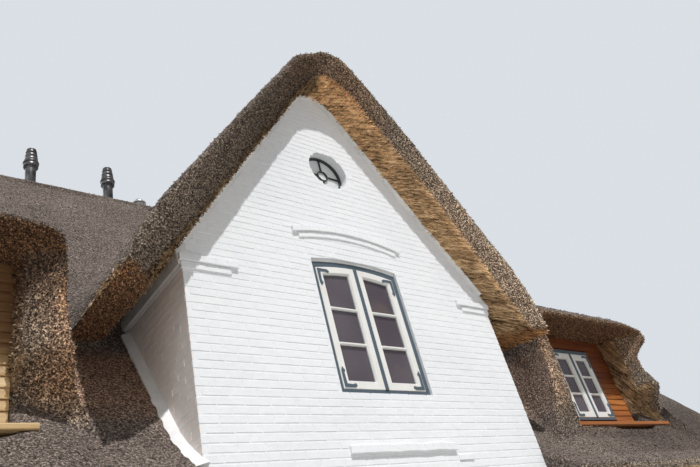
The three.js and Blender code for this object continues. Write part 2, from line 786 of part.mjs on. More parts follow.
// The splayed mouth of a cowl, from the boards out to the front
function cowlMouth() {
  const low = DORMER_SILL_TOP - DORMER_SILL - GAP;
  const back = [
    [-DORMER_HALF, low],
    [DORMER_HALF, low],
    [DORMER_HALF, DORMER_CEILING + GAP],
    [-DORMER_HALF, DORMER_CEILING + GAP],
  ];
  const geometry = alongY(back, FRONT - COWL_OUT, FRONT + DORMER_FACE);
  const place = geometry.attributes.position;
  for (let i = 0; i < place.count; i++) {
    if (place.getY(i) < FRONT) {
      place.setX(i, (place.getX(i) * MOUTH_HALF) / DORMER_HALF);
      place.setZ(i, Math.min(place.getZ(i), COWL_LIP));
    }
  }
  return solidOf(geometry);
}

// Thatch under the sill, from the sill down to the roof
function dormerApron() {
  const low = DORMER_SILL_TOP - DORMER_SILL - GAP;
  const outline = [
    [-APRON_OUT, roofInnerLine(0)],
    [-APRON_OUT, APRON_FOOT],
    [DORMER_FACE - DORMER_SILL_OUT - APRON_BEHIND_SILL, low],
    [DORMER_FACE, low],
    [DORMER_FACE, roofInnerLine(0)],
  ];
  return solidOf(alongX(fromFront(outline), -APRON_HALF, APRON_HALF));
}

function dormerSill(grow) {
  const front = FRONT + DORMER_FACE - DORMER_SILL_OUT;
  const low = DORMER_SILL_TOP - DORMER_SILL;
  const wide = block(
    -DORMER_SILL_HALF - grow, DORMER_SILL_HALF + grow,
    front - grow, FRONT + DORMER_FACE + DORMER_BOARD + grow,
    low - grow, DORMER_SILL_TOP + grow,
  );
  return solidOf(wide).translate([DORMER_CENTRE, 0, 0]);
}

function dormerThatch() {
  return cowlBody()
    .subtract(cowlFront())
    .subtract(cowlMouth())
    .add(dormerApron())
    .translate([DORMER_CENTRE, 0, 0])
    .subtract(dormerSpace())
    .subtract(dormerSill(GAP))
    .subtract(roofFill());
}

function dormerSillPlank() {
  const half = DORMER_HALF;
  const middle = block(
    DORMER_CENTRE - half, DORMER_CENTRE + half,
    FRONT - HOUSE_DEPTH, 0,
    0, ROOF_PEAK,
  );
  const horns = dormerSill(0).subtract(solidOf(middle)).subtract(roofFill());
  return dormerSill(0).intersect(solidOf(middle)).add(horns);
}

const dormerWindowOutline = (inset) => {
  const half = DORMER_WINDOW_WIDTH / 2 - inset;
  return [
    [DORMER_CENTRE - half, DORMER_WINDOW_SILL + inset],
    [DORMER_CENTRE + half, DORMER_WINDOW_SILL + inset],
    [DORMER_CENTRE + half, DORMER_WINDOW_TOP - inset],
    [DORMER_CENTRE - half, DORMER_WINDOW_TOP - inset],
  ];
};

function dormerFront() {
  const face = FRONT + DORMER_FACE;
  const outline = [
    [DORMER_CENTRE - DORMER_HALF, DORMER_SILL_TOP + GAP],
    [DORMER_CENTRE + DORMER_HALF, DORMER_SILL_TOP + GAP],
    [DORMER_CENTRE + DORMER_HALF, DORMER_CEILING],
    [DORMER_CENTRE - DORMER_HALF, DORMER_CEILING],
  ];
  return panel(outline, face, face + DORMER_BOARD, [dormerWindowOutline(0)]);
}

function dormerWindow() {
  const face = FRONT + DORMER_FACE - DORMER_FRAME_PROUD;
  const edge = DORMER_WINDOW_WIDTH / 2 - DORMER_FRAME_WIDTH;
  const post = DORMER_FRAME_WIDTH;
  const holes = [1, -1].map((side) => [
    [DORMER_CENTRE + side * post, DORMER_WINDOW_SILL + DORMER_FRAME_WIDTH],
    [DORMER_CENTRE + side * edge, DORMER_WINDOW_SILL + DORMER_FRAME_WIDTH],
    [DORMER_CENTRE + side * edge, DORMER_WINDOW_TOP - DORMER_FRAME_WIDTH],
    [DORMER_CENTRE + side * post, DORMER_WINDOW_TOP - DORMER_FRAME_WIDTH],
  ]);
  return panel(dormerWindowOutline(GAP), face, face + DORMER_FRAME_DEPTH, holes);
}

function dormerGlass() {
  const face = FRONT + DORMER_FACE + DORMER_BOARD + GAP;
  return solidOf(alongY(dormerWindowOutline(-GLASS_LAP), face, face + GLASS_THICKNESS));
}

// Main roof slopes
function frontSlope(side) {
  const half = slope(HALF_DEPTH, HALF_LENGTH);
  const keep = solidOf(block(GAP / 2, HOUSE_LENGTH, -HOUSE_DEPTH, HOUSE_DEPTH, 0, ROOF_PEAK));
  const hole = solidOf(
    block(
      DORMER_CENTRE - DORMER_HALF - GAP, DORMER_CENTRE + DORMER_HALF + GAP,
      -HOUSE_DEPTH, 0,
      DORMER_SILL_TOP - DORMER_SILL - GAP, DORMER_CEILING + GAP,
    ),
  );
  const made = half.intersect(keep).subtract(gableRoom()).subtract(hole);
  return side > 0 ? made : mirrored(made);
}

const rearSlope = () => toRear(slope(HALF_DEPTH, HALF_LENGTH));
const hipSlope = (side) => turned(slope(HALF_LENGTH, HALF_DEPTH), 90 * side);

// Floors
function groundFloor() {
  const x = HALF_LENGTH - WALL_THICKNESS - GAP;
  const y = HALF_DEPTH - WALL_THICKNESS - GAP;
  return solidOf(block(-x, x, -y, y, 0, FLOOR_TOP));
}

function atticFloor() {
  const x = HALF_LENGTH - ATTIC_FLOOR_SET_IN;
  const y = HALF_DEPTH - ATTIC_FLOOR_SET_IN;
  const z = WALL_TOP + GAP;
  const deck = solidOf(block(-x, x, -y, y, z, z + ATTIC_FLOOR_THICKNESS));
  const wallZone = block(
    -GABLE_HALF - GAP, GABLE_HALF + GAP,
    -HOUSE_DEPTH, FRONT + WALL_THICKNESS + GAP,
    0, ROOF_PEAK,
  );
  return deck.subtract(solidOf(wallZone));
}

// A vent pipe: a tube with a collar and a stepped head, or a low dome
function ventPipe({ x, top, shape }) {
  const foot = RIDGE_FLAT - PIPE_DEPTH_IN_ROOF;
  const head = PIPE_HEADS[shape].map(([below, radius]) => new THREE.Vector2(radius, top - below));
  const profile = [new THREE.Vector2(0, foot), new THREE.Vector2(PIPE_RADIUS, foot), ...head];
  const geometry = new THREE.LatheGeometry([...profile, new THREE.Vector2(0, top)], PIPE_STEPS);
  geometry.rotateX(Math.PI / 2);
  geometry.translate(x, PIPE_BEHIND_RIDGE, 0);
  return solidOf(geometry).subtract(ridgeFill()).subtract(roofFill());
}

// The scene graph
const group = new THREE.Group();

function place(name, solid, { color, roughness, metalness }) {
  const material = new THREE.MeshStandardMaterial({ color, roughness, metalness });
  const mesh = new THREE.Mesh(geometryOf(solid), material);
  mesh.name = name;
  group.add(mesh);
}

place("gable_wall", gableWall(), WHITE_BRICK);
place("rear_wall", toRear(plainWall(-HALF_LENGTH, HALF_LENGTH, REAR_WINDOWS)), WHITE_BRICK);
place("ground_floor", groundFloor(), SCREED);
place("attic_floor", atticFloor(), DECK);

for (const [word, side] of [["right", 1], ["left", -1]]) {
  const mirror = (solid) => (side > 0 ? solid : mirrored(solid));
  place(`front_wall_${word}`, mirror(plainWall(GABLE_HALF + GAP, HALF_LENGTH, FRONT_WINDOWS)), WHITE_BRICK);
  place(`end_wall_${word}`, endWall(side), WHITE_BRICK);
  place(`gable_cheek_${word}`, gableCheek(side), WHITE_BRICK);
  place(`cornice_${word}`, cornice(side), WHITE_BRICK);
  place(`front_windows_${word}`, mirror(windowRow(FRONT_WINDOWS)), BLUE_GREY);
  place(`end_windows_${word}`, toEnd(windowRow(END_WINDOWS), side), BLUE_GREY);
  place(`thatch_front_${word}`, frontSlope(side), THATCH);
  place(`thatch_hip_${word}`, hipSlope(side), THATCH);
  place(`dormer_thatch_${word}`, mirror(dormerThatch()), THATCH);
  place(`dormer_boards_${word}`, mirror(dormerFront()), BOARDS);
  place(`dormer_sill_${word}`, mirror(dormerSillPlank()), BOARDS);
  place(`dormer_window_${word}`, mirror(dormerWindow()), OFF_WHITE);
  place(`dormer_glass_${word}`, mirror(dormerGlass()), GLASS);
  place(`gable_sash_${word}`, gableSash(side), OFF_WHITE);
}

place("rear_windows", toRear(windowRow(REAR_WINDOWS)), BLUE_GREY);
place("thatch_rear", rearSlope(), THATCH);
place("thatch_ridge", ridgeRoll(), THATCH);
place("gable_thatch", gableThatch(), THATCH);
place("gable_window_frame", gableWindowFrame(), BLUE_GREY);
place("gable_window_glass", gableGlass(), GLASS);
place("round_window_frame", roundFrame(), BLUE_GREY);
place("round_window_glass", roundGlass(), GLASS);
place("window_hood", windowHood(), WHITE_BRICK);
place("door_hood", doorHood(), WHITE_BRICK);
place("door_frame", doorFrame(), BLUE_GREY);
place("front_door", doorLeaf(), DOOR_PAINT);
place("door_light", doorLight(), GLASS);
PIPES.forEach((pipe, index) => place(`vent_pipe_${index + 1}`, ventPipe(pipe), DARK_METAL));

export default group;
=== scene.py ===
# %% [markdown]
# # A thatched cottage, seen from below its gable
# The walls, windows and roof of this house already have their real size and place in the frame.
# This lesson gives them their looks: a thick, soft reed roof, painted brick, oiled boards and
# painted windows. Everything is in metres, with +X to the right along the front, +Y into the
# house and +Z up. The front wall stands 3.9 m in front of the middle of the plan.

# %% Load the frame
import math
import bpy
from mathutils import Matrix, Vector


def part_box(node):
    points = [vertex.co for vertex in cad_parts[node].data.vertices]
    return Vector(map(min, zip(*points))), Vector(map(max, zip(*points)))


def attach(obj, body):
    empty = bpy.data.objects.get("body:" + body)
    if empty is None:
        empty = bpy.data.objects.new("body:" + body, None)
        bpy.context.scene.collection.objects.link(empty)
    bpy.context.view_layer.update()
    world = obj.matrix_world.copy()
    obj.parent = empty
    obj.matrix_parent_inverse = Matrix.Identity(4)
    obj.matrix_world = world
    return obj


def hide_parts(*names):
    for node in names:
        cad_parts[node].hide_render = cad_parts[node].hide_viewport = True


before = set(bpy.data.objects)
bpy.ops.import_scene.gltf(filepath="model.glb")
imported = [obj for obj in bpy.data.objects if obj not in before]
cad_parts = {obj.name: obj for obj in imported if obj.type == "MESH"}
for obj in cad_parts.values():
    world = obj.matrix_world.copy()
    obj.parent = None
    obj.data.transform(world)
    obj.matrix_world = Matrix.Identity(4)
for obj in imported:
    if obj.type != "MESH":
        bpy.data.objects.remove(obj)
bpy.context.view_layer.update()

from types import SimpleNamespace

import bmesh
import bpy
import numpy as np
from mathutils import Matrix, Vector

print("pieces in the frame:", len(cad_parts))

# %% [markdown]
# ## The camera
# The photographer stood close to the left of the gable and looked steeply up and to the right.
# Three unit vectors say how the camera is turned: they are the columns of its matrix. The
# focal length in pixels, divided by the picture's width, times the sensor's width is the lens.

# %% Camera
PICTURE_WIDTH = 700
FOCAL_PIXELS = 636
SENSOR = 36
EYE = Vector((-4.3244, -8.15, 1.6))
RIGHT = Vector((0.77359, -0.58997, -0.23139))
UP = Vector((-0.17830, -0.55295, 0.81389))
FORWARD = Vector((0.60807, 0.58838, 0.53290))

camera_data = bpy.data.cameras.new("camera")
camera_data.sensor_width = SENSOR
camera_data.lens = FOCAL_PIXELS / PICTURE_WIDTH * SENSOR
camera = bpy.data.objects.new("camera", camera_data)
camera.matrix_world = Matrix.Translation(EYE) @ Matrix((RIGHT, UP, -FORWARD)).transposed().to_4x4()
bpy.context.scene.collection.objects.link(camera)
bpy.context.scene.camera = camera
print("lens:", round(camera_data.lens, 2), "mm")

# %% [markdown]
# ## Floor and light
# A plain pale floor and a plain pale surround stand for a studio. The key light comes from the
# front and from high above, so the overhanging reed shades the wall beneath it. Two wide, weak
# lights, one from the left and one from behind, and the surround fill the shade. The picture's
# own background is paler than the light that the surround gives, which a Light Path node tells
# apart.

# %% Floor and light
FLOOR_HALF = 60
FLOOR_COLOUR = (0.50, 0.49, 0.47)
FLOOR_ROUGHNESS = 0.8
SURROUND_COLOUR = (0.94, 0.97, 1.0)
SURROUND_STRENGTH = 0.34
BACKGROUND = (0.70, 0.74, 0.78)
# Each light: degrees to the right of the front, degrees high, strength, degrees across
KEY_LIGHT = (-3, 60, 3.2, 0.8)
LEFT_FILL = (-78, 24, 0.65, 60)
BACK_FILL = (205, 38, 0.8, 40)


def plain_floor():
    mesh = bpy.data.meshes.new("studio_floor")
    corners = ((-1, -1), (1, -1), (1, 1), (-1, 1))
    mesh.from_pydata([(FLOOR_HALF * x, FLOOR_HALF * y, 0) for x, y in corners], [], [(0, 1, 2, 3)])
    floor = bpy.data.objects.new("studio_floor", mesh)
    bpy.context.scene.collection.objects.link(floor)
    material = bpy.data.materials.new("studio_floor")
    material.use_nodes = True
    shader = material.node_tree.nodes["Principled BSDF"]
    shader.inputs["Base Color"].default_value = (*FLOOR_COLOUR, 1)
    shader.inputs["Roughness"].default_value = FLOOR_ROUGHNESS
    mesh.materials.append(material)


def sun(name, degrees_right, degrees_high, strength, degrees_across):
    light = bpy.data.lights.new(name, "SUN")
    light.energy = strength
    light.angle = math.radians(degrees_across)
    lamp = bpy.data.objects.new(name, light)
    right, high = math.radians(degrees_right), math.radians(degrees_high)
    towards_light = Vector((
        math.sin(right) * math.cos(high),
        -math.cos(right) * math.cos(high),
        math.sin(high),
    ))
    lamp.rotation_euler = towards_light.to_track_quat("Z", "Y").to_euler()
    bpy.context.scene.collection.objects.link(lamp)


def surround():
    world = bpy.data.worlds.new("surround")
    world.use_nodes = True
    bpy.context.scene.world = world
    nodes, links = world.node_tree.nodes, world.node_tree.links
    nodes.clear()
    path = nodes.new("ShaderNodeLightPath")
    fill = nodes.new("ShaderNodeBackground")
    fill.inputs["Color"].default_value = (*SURROUND_COLOUR, 1)
    fill.inputs["Strength"].default_value = SURROUND_STRENGTH
    seen = nodes.new("ShaderNodeBackground")
    seen.inputs["Color"].default_value = (*BACKGROUND, 1)
    either = nodes.new("ShaderNodeMixShader")
    out = nodes.new("ShaderNodeOutputWorld")
    links.new(path.outputs["Is Camera Ray"], either.inputs[0])
    links.new(fill.outputs[0], either.inputs[1])
    links.new(seen.outputs[0], either.inputs[2])
    links.new(either.outputs[0], out.inputs[0])


plain_floor()
surround()
sun("key", *KEY_LIGHT)
sun("left_fill", *LEFT_FILL)
sun("back_fill", *BACK_FILL)
bpy.context.scene.view_settings.view_transform = "Standard"
print("key light", KEY_LIGHT[1], "degrees high")

# %% [markdown]
# ## Writing a material as sums
# A finish is a tree of nodes. Written node by node it is long and hard to read, so a small
# class wraps a socket: sums and products on it add Math nodes. Every other node comes from one
# method of the finish, which takes the node's kind, the values or links of its sockets, and its
# settings. Colours are mixed with Mix nodes, because a Math node would turn them grey.

# %% The finish helpers
MIX_SHARE, MIX_FIRST, MIX_SECOND, MIX_RESULT = 0, 6, 7, 2


class Wire:
    """A socket in a finish. Sums on it add Math nodes."""

    def __init__(self, finish, socket):
        self.finish = finish
        self.socket = socket

    def maths(self, operation, first, second):
        return self.finish.node("ShaderNodeMath", {0: first, 1: second}, {"operation": operation})

    def __add__(self, other):
        return self.maths("ADD", self, other)

    __radd__ = __add__

    def __sub__(self, other):
        return self.maths("SUBTRACT", self, other)

    def __rsub__(self, other):
        return self.maths("SUBTRACT", other, self)

    def __mul__(self, other):
        return self.maths("MULTIPLY", self, other)

    __rmul__ = __mul__

    def step(self, low, high):
        """0 below low, 1 above high, smooth between them."""
        inputs = {"Value": self, "From Min": low, "From Max": high}
        return self.finish.node("ShaderNodeMapRange", inputs, {"interpolation_type": "SMOOTHSTEP"})


class Finish:
    """A material under construction."""

    def __init__(self, name):
        self.material = bpy.data.materials.new(name)
        self.material.use_nodes = True
        self.tree = self.material.node_tree
        self.shader = self.tree.nodes["Principled BSDF"]

    def join(self, value, socket):
        if isinstance(value, Wire):
            self.tree.links.new(value.socket, socket)
        elif isinstance(value, tuple) and len(value) == 3 and socket.type == "RGBA":
            socket.default_value = (*value, 1)
        else:
            socket.default_value = value

    def node(self, kind, inputs=None, settings=None, out=0):
        made = self.tree.nodes.new(kind)
        for name, value in (settings or {}).items():
            setattr(made, name, value)
        for name, value in (inputs or {}).items():
            self.join(value, made.inputs[name])
        return Wire(self, made.outputs[out])

    def place(self, scale=(1, 1, 1), turn=(0, 0, 0)):
        """The point on the house, in metres, scaled along X, Y and Z."""
        point = self.node("ShaderNodeTexCoord", out="Object")
        return self.node("ShaderNodeMapping", {"Vector": point, "Scale": scale, "Rotation": turn})

    def noise(self, point, scale, detail=3.0, roughness=0.55, out="Fac"):
        inputs = {"Vector": point, "Scale": scale, "Detail": detail, "Roughness": roughness}
        return self.node("ShaderNodeTexNoise", inputs, out=out)

    def cells(self, point, scale, out="Distance"):
        return self.node("ShaderNodeTexVoronoi", {"Vector": point, "Scale": scale}, out=out)

    def grey(self, colour):
        """One of a colour's channels, as a number."""
        return self.node("ShaderNodeSeparateColor", {"Color": colour}, out=0)

    def attribute(self, name):
        return self.node("ShaderNodeAttribute", settings={"attribute_name": name}, out="Fac")

    def blend(self, share, first, second, how="MIX"):
        inputs = {MIX_SHARE: share, MIX_FIRST: first, MIX_SECOND: second}
        settings = {"data_type": "RGBA", "blend_type": how}
        return self.node("ShaderNodeMix", inputs, settings, out=MIX_RESULT)

    def multiply(self, share, colour, tint):
        """The colour tinted by a share."""
        return self.blend(share, colour, tint, "MULTIPLY")

    def bump(self, height, distance, strength=1.0, under=None):
        inputs = {"Height": height, "Distance": distance, "Strength": strength}
        if under is not None:
            inputs["Normal"] = under
        return self.node("ShaderNodeBump", inputs)

    def use(self, **inputs):
        """Sets or links sockets of the shader, then hands over the material."""
        for name, value in inputs.items():
            self.join(value, self.shader.inputs[name.replace("_", " ")])
        return self.material


print("finish helpers ready")

# %% [markdown]
# ## The finish of the reed
# Thatch shows the ends of millions of reeds. On the weathered top they are grey-brown specks a
# finger wide, on the cut edges they are lighter with dark holes between them, and under the
# overhangs whole golden reeds lie side by side and point outwards. Numbers painted on the mesh
# say which of these a place shows, "cut" and "under", and how it is tinted, "warm", "dark" and
# "light". These tints hold painted light and painted shade as well as changes in the reed's own
# colour. A number "tone" gives each single reed its own shade. Cells of a Voronoi pattern are the
# reed ends. A noise drawn out along one axis, and turned the way the reeds lie, is their sides.

# %% Reed finish
REED_END = 80.0
SPECKLE = 56.0
BENT_BY = 0.02
WEATHERED = ((0.030, 0.021, 0.017), (0.165, 0.126, 0.104), (0.420, 0.350, 0.300))
CUT = ((0.022, 0.015, 0.010), (0.195, 0.143, 0.102), (0.760, 0.625, 0.490))
GOLDEN = ((0.060, 0.030, 0.012), (0.370, 0.240, 0.125), (0.720, 0.540, 0.330))
# Multipliers for the tints, which hold painted light and shade as well as the reed's own colour
WARM_TINT = (1.0, 0.62, 0.32)
DARK_TINT = (0.42, 0.37, 0.33)
LIGHT_TINT = (1.95, 1.90, 1.85)
REEDS_TURN = (math.radians(36.5), 0.0, math.radians(22.4))
CHEEK_REEDS_TURN = (math.radians(68.8), 0.0, math.radians(15.2))
DORMERS_FROM = 3.2
DRAWN_OUT = (1, 0.06, 1)


def three_tones(finish, share, dark, middle, light):
    lower = finish.blend(share.step(0.05, 0.5), dark, middle)
    return finish.blend(share.step(0.5, 0.95), lower, light)


def reed_ends(f, point):
    """(distance from the middle of each reed's end, that end's own tone)"""
    inputs = {0: f.noise(point, 9.0, 2.0, out="Color"), 1: (BENT_BY,) * 3, 2: point}
    bent = f.node("ShaderNodeVectorMath", inputs, {"operation": "MULTIPLY_ADD"})
    return f.cells(bent, REED_END), f.grey(f.cells(bent, REED_END, out="Color"))


def reed_sides(f, point):
    """(single reeds, bundles of them), the same on both halves of the house."""
    mirrored = f.node("ShaderNodeVectorMath", {0: point}, {"operation": "ABSOLUTE"})
    from_middle = f.node("ShaderNodeSeparateXYZ", {"Vector": mirrored})
    at_dormer = from_middle.step(DORMERS_FROM, DORMERS_FROM + 0.01)
    turn = f.blend(at_dormer, REEDS_TURN, CHEEK_REEDS_TURN)
    turned = f.node("ShaderNodeMapping", {"Vector": mirrored, "Rotation": turn})
    along = f.node("ShaderNodeMapping", {"Vector": turned, "Scale": DRAWN_OUT})
    return f.noise(along, 38.0, 3.0, 0.7), f.noise(along, 8.0, 2.0)


def reed_finish(name):
    f = Finish(name)
    point = f.place()
    ends, end_tone = reed_ends(f, point)
    reeds, bundles = reed_sides(f, point)
    speckle = f.noise(point, SPECKLE, 5.0, 0.85)
    patches = f.noise(point, 0.9, 3.0)
    own, under = f.attribute("tone"), f.attribute("under")
    grain = end_tone * 0.55 + speckle * 3.9 - ends * 0.35 - 1.68 + own
    line_tone = reeds * 2.8 + bundles * 0.8 + speckle * 0.5 - 1.55 + own * 0.6
    weathered = three_tones(f, grain + patches * 0.5 - 0.28, *WEATHERED)
    cut = three_tones(f, grain + 0.02, *CUT)
    golden = three_tones(f, line_tone, *GOLDEN)
    colour = f.blend(f.attribute("cut").step(0.1, 0.9), weathered, cut)
    colour = f.blend(under.step(0.1, 0.9), colour, golden)
    # the tints hold painted light and painted shade
    for label, tint in (("warm", WARM_TINT), ("dark", DARK_TINT), ("light", LIGHT_TINT)):
        colour = f.multiply(f.attribute(label), colour, tint)
    relief = (speckle * 1.2 - ends * 0.4) * (1 - under) + reeds * under
    coarse = f.bump(f.noise(point, 7.0, 3.0), 0.03, 0.4)
    return f.use(Base_Color=colour, Roughness=0.95, Normal=f.bump(relief, 0.012, 0.8, coarse))


REED = reed_finish("reed")
print("finish:", REED.name)

# %% [markdown]
# ## The shape of the roof, as distances
# A thatched roof has no sharp valleys: the reed runs round every corner in a soft curve. Such a
# form is hard to model face by face, but easy to write as a distance field. Each body gets a
# function that is negative inside and positive outside, in metres. The larger of two distances
# is where both bodies are, the smaller is either of them, and a smooth larger or smaller rounds
# the edge between them. First come these helpers and the main roof: four slopes with a sweep
# outwards above the eaves, and a cap along the ridge.

# %% Main roof as a distance
HALF_LENGTH = 9.0
HALF_DEPTH = 3.9
PEAK = 8.70
ROOF_PITCH = math.radians(56.8)
SLOPE = math.tan(ROOF_PITCH)
SWEEP_START = 0.35
SWEEP_GAIN = 0.765
SWEEP_POWER = 1.266
REED_THICKNESS = 0.33
EAVES_OUT = 0.50
EAVES_TOP = 2.62
EAVES_CUT = (-0.793, -0.61)
EAVES_ROUNDING = 0.25
HIP_ROUNDING = 0.35
RIDGE_TOP = 8.44
RIDGE_REACH = 0.55
RIDGE_ROLL = 0.045
RIDGE_ROUNDING = 0.10
RIDGE_PAST_HIP = 0.25
RIDGE_HALF = HALF_LENGTH - HALF_DEPTH + RIDGE_PAST_HIP
CAP_ROUNDING = 0.22
CAP_FOOT_ROUNDING = 0.03
CAP_END_ROUNDING = 0.08


def larger(a, b, soft):
    """The larger of two distances, with the edge between them rounded."""
    share = np.clip(0.5 + 0.5 * (a - b) / soft, 0, 1)
    return b + (a - b) * share + soft * share * (1 - share)


def smaller(a, b, soft):
    return -larger(-a, -b, soft)


def ramp(value, low, high):
    """0 below low, 1 above high, smooth between them."""
    share = np.clip((value - low) / (high - low), 0, 1)
    return share * share * (3 - 2 * share)


def falling(value, low, high):
    """1 below low, 0 above high, smooth between them."""
    return ramp(-value, -high, -low)


def slope_distance(depth, z):
    """Distance to one slope's top, from the depth behind its wall's face."""
    ahead = np.maximum(SWEEP_START - depth, 0)
    height = PEAK - SLOPE * (HALF_DEPTH - depth) + SWEEP_GAIN * ahead**SWEEP_POWER
    steepness = SLOPE - SWEEP_GAIN * SWEEP_POWER * ahead ** (SWEEP_POWER - 1)
    return (z - height) / np.sqrt(1 + steepness**2)


def eaves_distance(depth, z):
    return EAVES_CUT[0] * (depth + EAVES_OUT) + EAVES_CUT[1] * (z - EAVES_TOP)


def main_roof(x, y, z):
    """(distance to the roof's top, distance to the eaves' cut face)"""
    to_wall = HALF_DEPTH - np.abs(y)
    to_end = HALF_LENGTH - np.abs(x)
    top = larger(slope_distance(to_wall, z), slope_distance(to_end, z), HIP_ROUNDING)
    top = larger(top, z - RIDGE_TOP + RIDGE_ROLL, RIDGE_ROUNDING)
    eaves = larger(eaves_distance(to_wall, z), eaves_distance(to_end, z), EAVES_ROUNDING)
    return top, eaves


def ridge_cap(x, y, z):
    """The cap along the ridge: it follows the two long slopes, a little outside them."""
    top = slope_distance(HALF_DEPTH - np.abs(y), z) - RIDGE_ROLL
    top = larger(top, z - RIDGE_TOP, CAP_ROUNDING)
    foot = PEAK - RIDGE_REACH * math.sin(ROOF_PITCH) - z
    body = larger(top, foot, CAP_FOOT_ROUNDING)
    return larger(body, np.abs(x) - RIDGE_HALF, CAP_END_ROUNDING)


print("eaves", EAVES_OUT, "m out, ridge", RIDGE_TOP, "m high")

# %% [markdown]
# ## The gable's thatch
# Two steep slopes meet in a round crown over the brick gable. At the front they stand half a
# metre out over the wall, and their cut edge, the verge, leans back towards the wall. Under it
# the reed spreads a little outwards. The distance to a wedge with a round top is the distance
# to a smaller, sharp wedge, less the radius.

# %% Gable thatch as a distance
GABLE_HALF = 2.05
GABLE_PEAK = 8.45
GABLE_THICKNESS = 0.36
GABLE_PITCH = math.radians(55.3)
CROWN_RADIUS = 0.69
CROWN_CENTRE = GABLE_PEAK - CROWN_RADIUS / math.cos(GABLE_PITCH)
CROWN_AT, SHOULDER_AT = 0.14, -0.60
FULL_RIGHT = 0.030
FULL_CROWN = 0.060
LOW_SHOULDER = 0.020
VERGE_OUT = 0.515
VERGE_BACK = 0.09
VERGE_LEAN = (-0.86, 0.51)
UNDER_SPREAD = (-0.3855, 0.9226)
NOSE = (2.64, 4.64)
NOSE_NORMAL = (0.956, 0.294)
GABLE_EAVES_TIP = (2.72, 4.38)
GABLE_EAVES_NORMAL = (-0.164, -0.986)
EAVES_DROOP = 0.12
EAVES_DROOP_FROM = 0.3
ROOM_BACK = -0.3


def wedge(x, z):
    """Distance to the gable thatch's top, seen from the front."""
    side = np.abs(x)
    rise = z - CROWN_CENTRE
    flat = math.sin(GABLE_PITCH) * side + math.cos(GABLE_PITCH) * rise
    before_peak = math.cos(GABLE_PITCH) * side < math.sin(GABLE_PITCH) * rise
    return np.where(before_peak, np.hypot(side, rise), flat) - CROWN_RADIUS


def fullness(x):
    """How much thicker the reed lies: on the right slope and right of the crown, seen in front."""
    crown = 1 - ramp(np.abs(x - CROWN_AT), 0.10, 0.40)
    shoulder = 1 - ramp(np.abs(x - SHOULDER_AT), 0.10, 0.60)
    return FULL_RIGHT * ramp(x, -0.2, 0.3) + FULL_CROWN * crown - LOW_SHOULDER * shoulder


def verge_distance(x, y, top):
    """Distance to the verge's cut face. The right verge draws back towards its foot."""
    front = -HALF_DEPTH - VERGE_OUT + VERGE_BACK * ramp(x, 1.0, 2.6)
    return VERGE_LEAN[0] * (y - front) - VERGE_LEAN[1] * top


def plane(side, z, point, normal):
    """Distance to a plane that runs from front to back, seen from the front."""
    return normal[0] * (side - point[0]) + normal[1] * (z - point[1])


def gable_thatch(x, y, z):
    """(whole body, top, verge, underside) of the gable's thatch, as distances."""
    plain = wedge(x, z)
    top = plain - fullness(x)
    verge = verge_distance(x, y, plain)
    spread = UNDER_SPREAD[0] * (y + HALF_DEPTH) - UNDER_SPREAD[1] * (plain + GABLE_THICKNESS)
    under = larger(-plain - GABLE_THICKNESS, spread, 0.06)
    side = np.abs(x)
    nose = plane(side, z, NOSE, NOSE_NORMAL)
    foot = plane(side, z, GABLE_EAVES_TIP, GABLE_EAVES_NORMAL)
    foot = foot - EAVES_DROOP * np.clip(EAVES_DROOP_FROM - (y + HALF_DEPTH), 0, 1)
    body = larger(larger(top, nose, 0.16), larger(verge, under, 0.05), 0.07)
    body = larger(body, foot, 0.05)
    return np.maximum(body, y), top, verge, np.maximum(under, foot)


def gable_room(x, y, z):
    """The space between the gable's side walls, up to the thatch."""
    between = np.maximum(np.abs(x) - GABLE_HALF, wedge(x, z) + GABLE_THICKNESS)
    return np.maximum(between, y - ROOM_BACK)


print("crown", round(CROWN_CENTRE + CROWN_RADIUS, 2), "m high")

# %% [markdown]
# ## The dormers' thatch
# Over each dormer the reed rises in a hood that stands forward, and it comes down on both sides
# as two thick cheeks that flare out into the roof. Their cut faces open from the boards like a
# funnel, under a brim with a sharp edge. The hood is one body with a width that grows towards its
# foot, and the funnel for the window is taken out of it.

# %% Dormer hoods as a distance
DORMER_AT = 4.36
DORMER_FACE = 0.45
DORMER_HALF = 1.0
LEFT_DORMER_WIDER = 0.11
DORMER_CEILING = 4.72
DORMER_SILL_UNDER = 3.27
HOOD_HALF = 1.40
HOOD_CROWN = 4.90
HOOD_BACK = 3.3
HOOD_PITCH = math.tan(math.radians(38))
HOOD_DROOP, RIGHT_HOOD_DROOP_LESS = 0.13, 0.04
NOSE_CURVE = 1.6
FLARE_START = 4.2
FLARE_GAIN = 0.424
FLARE_POWER = 2.15
INNER_FLARE_LESS = 0.5
BRIM_WIDER, CHEEK_SLIMMER = 0.24, 0.06
CHEEK_SWELL, FOOT_SWELL = 0.10, 0.24
CHEEK_FRONT = -0.02
BRIM_OUT = 0.10
FOOT_HOLLOW = 0.54
FOOT_HEIGHT = 3.60
FOOT_BLEND = 0.42
FOOT_LINE_FROM, FOOT_LINE_FALL = 1.2, 0.45
LEFT_FOOT_BACK = 0.08
FUNNEL_START = 0.26
FUNNEL_GAIN = 2.1
MOUTH_REACH = 1.60
JAMB_SPREAD = 0.40
RIGHT_JAMB_SPREAD = 0.14
APRON_SLOPE = 1.09
APRON_FROM = 0.2
APRON_LOWER = 0.02
# A height over a slope, times the slope's factor, is about the distance from it
TOP_FACTOR, FLANK_FACTOR, FRONT_FACTOR = 0.76, 0.9, 0.95
CEILING_RISE = 0.03
JAMB_FACTOR, RIGHT_JAMB_FACTOR = 1.07, 1.3
APRON_FACTOR, MOUTH_APRON_FACTOR = 0.68, 0.7
APRON_HALF = 1.60


def dormer_side(x):
    """(how far from the dormer's middle, share of its right side, share of the right dormer)"""
    offset = x - np.where(x < 0, -DORMER_AT, DORMER_AT)
    return np.abs(offset), ramp(offset, -0.2, 0.2), (x > 0) * 1.0


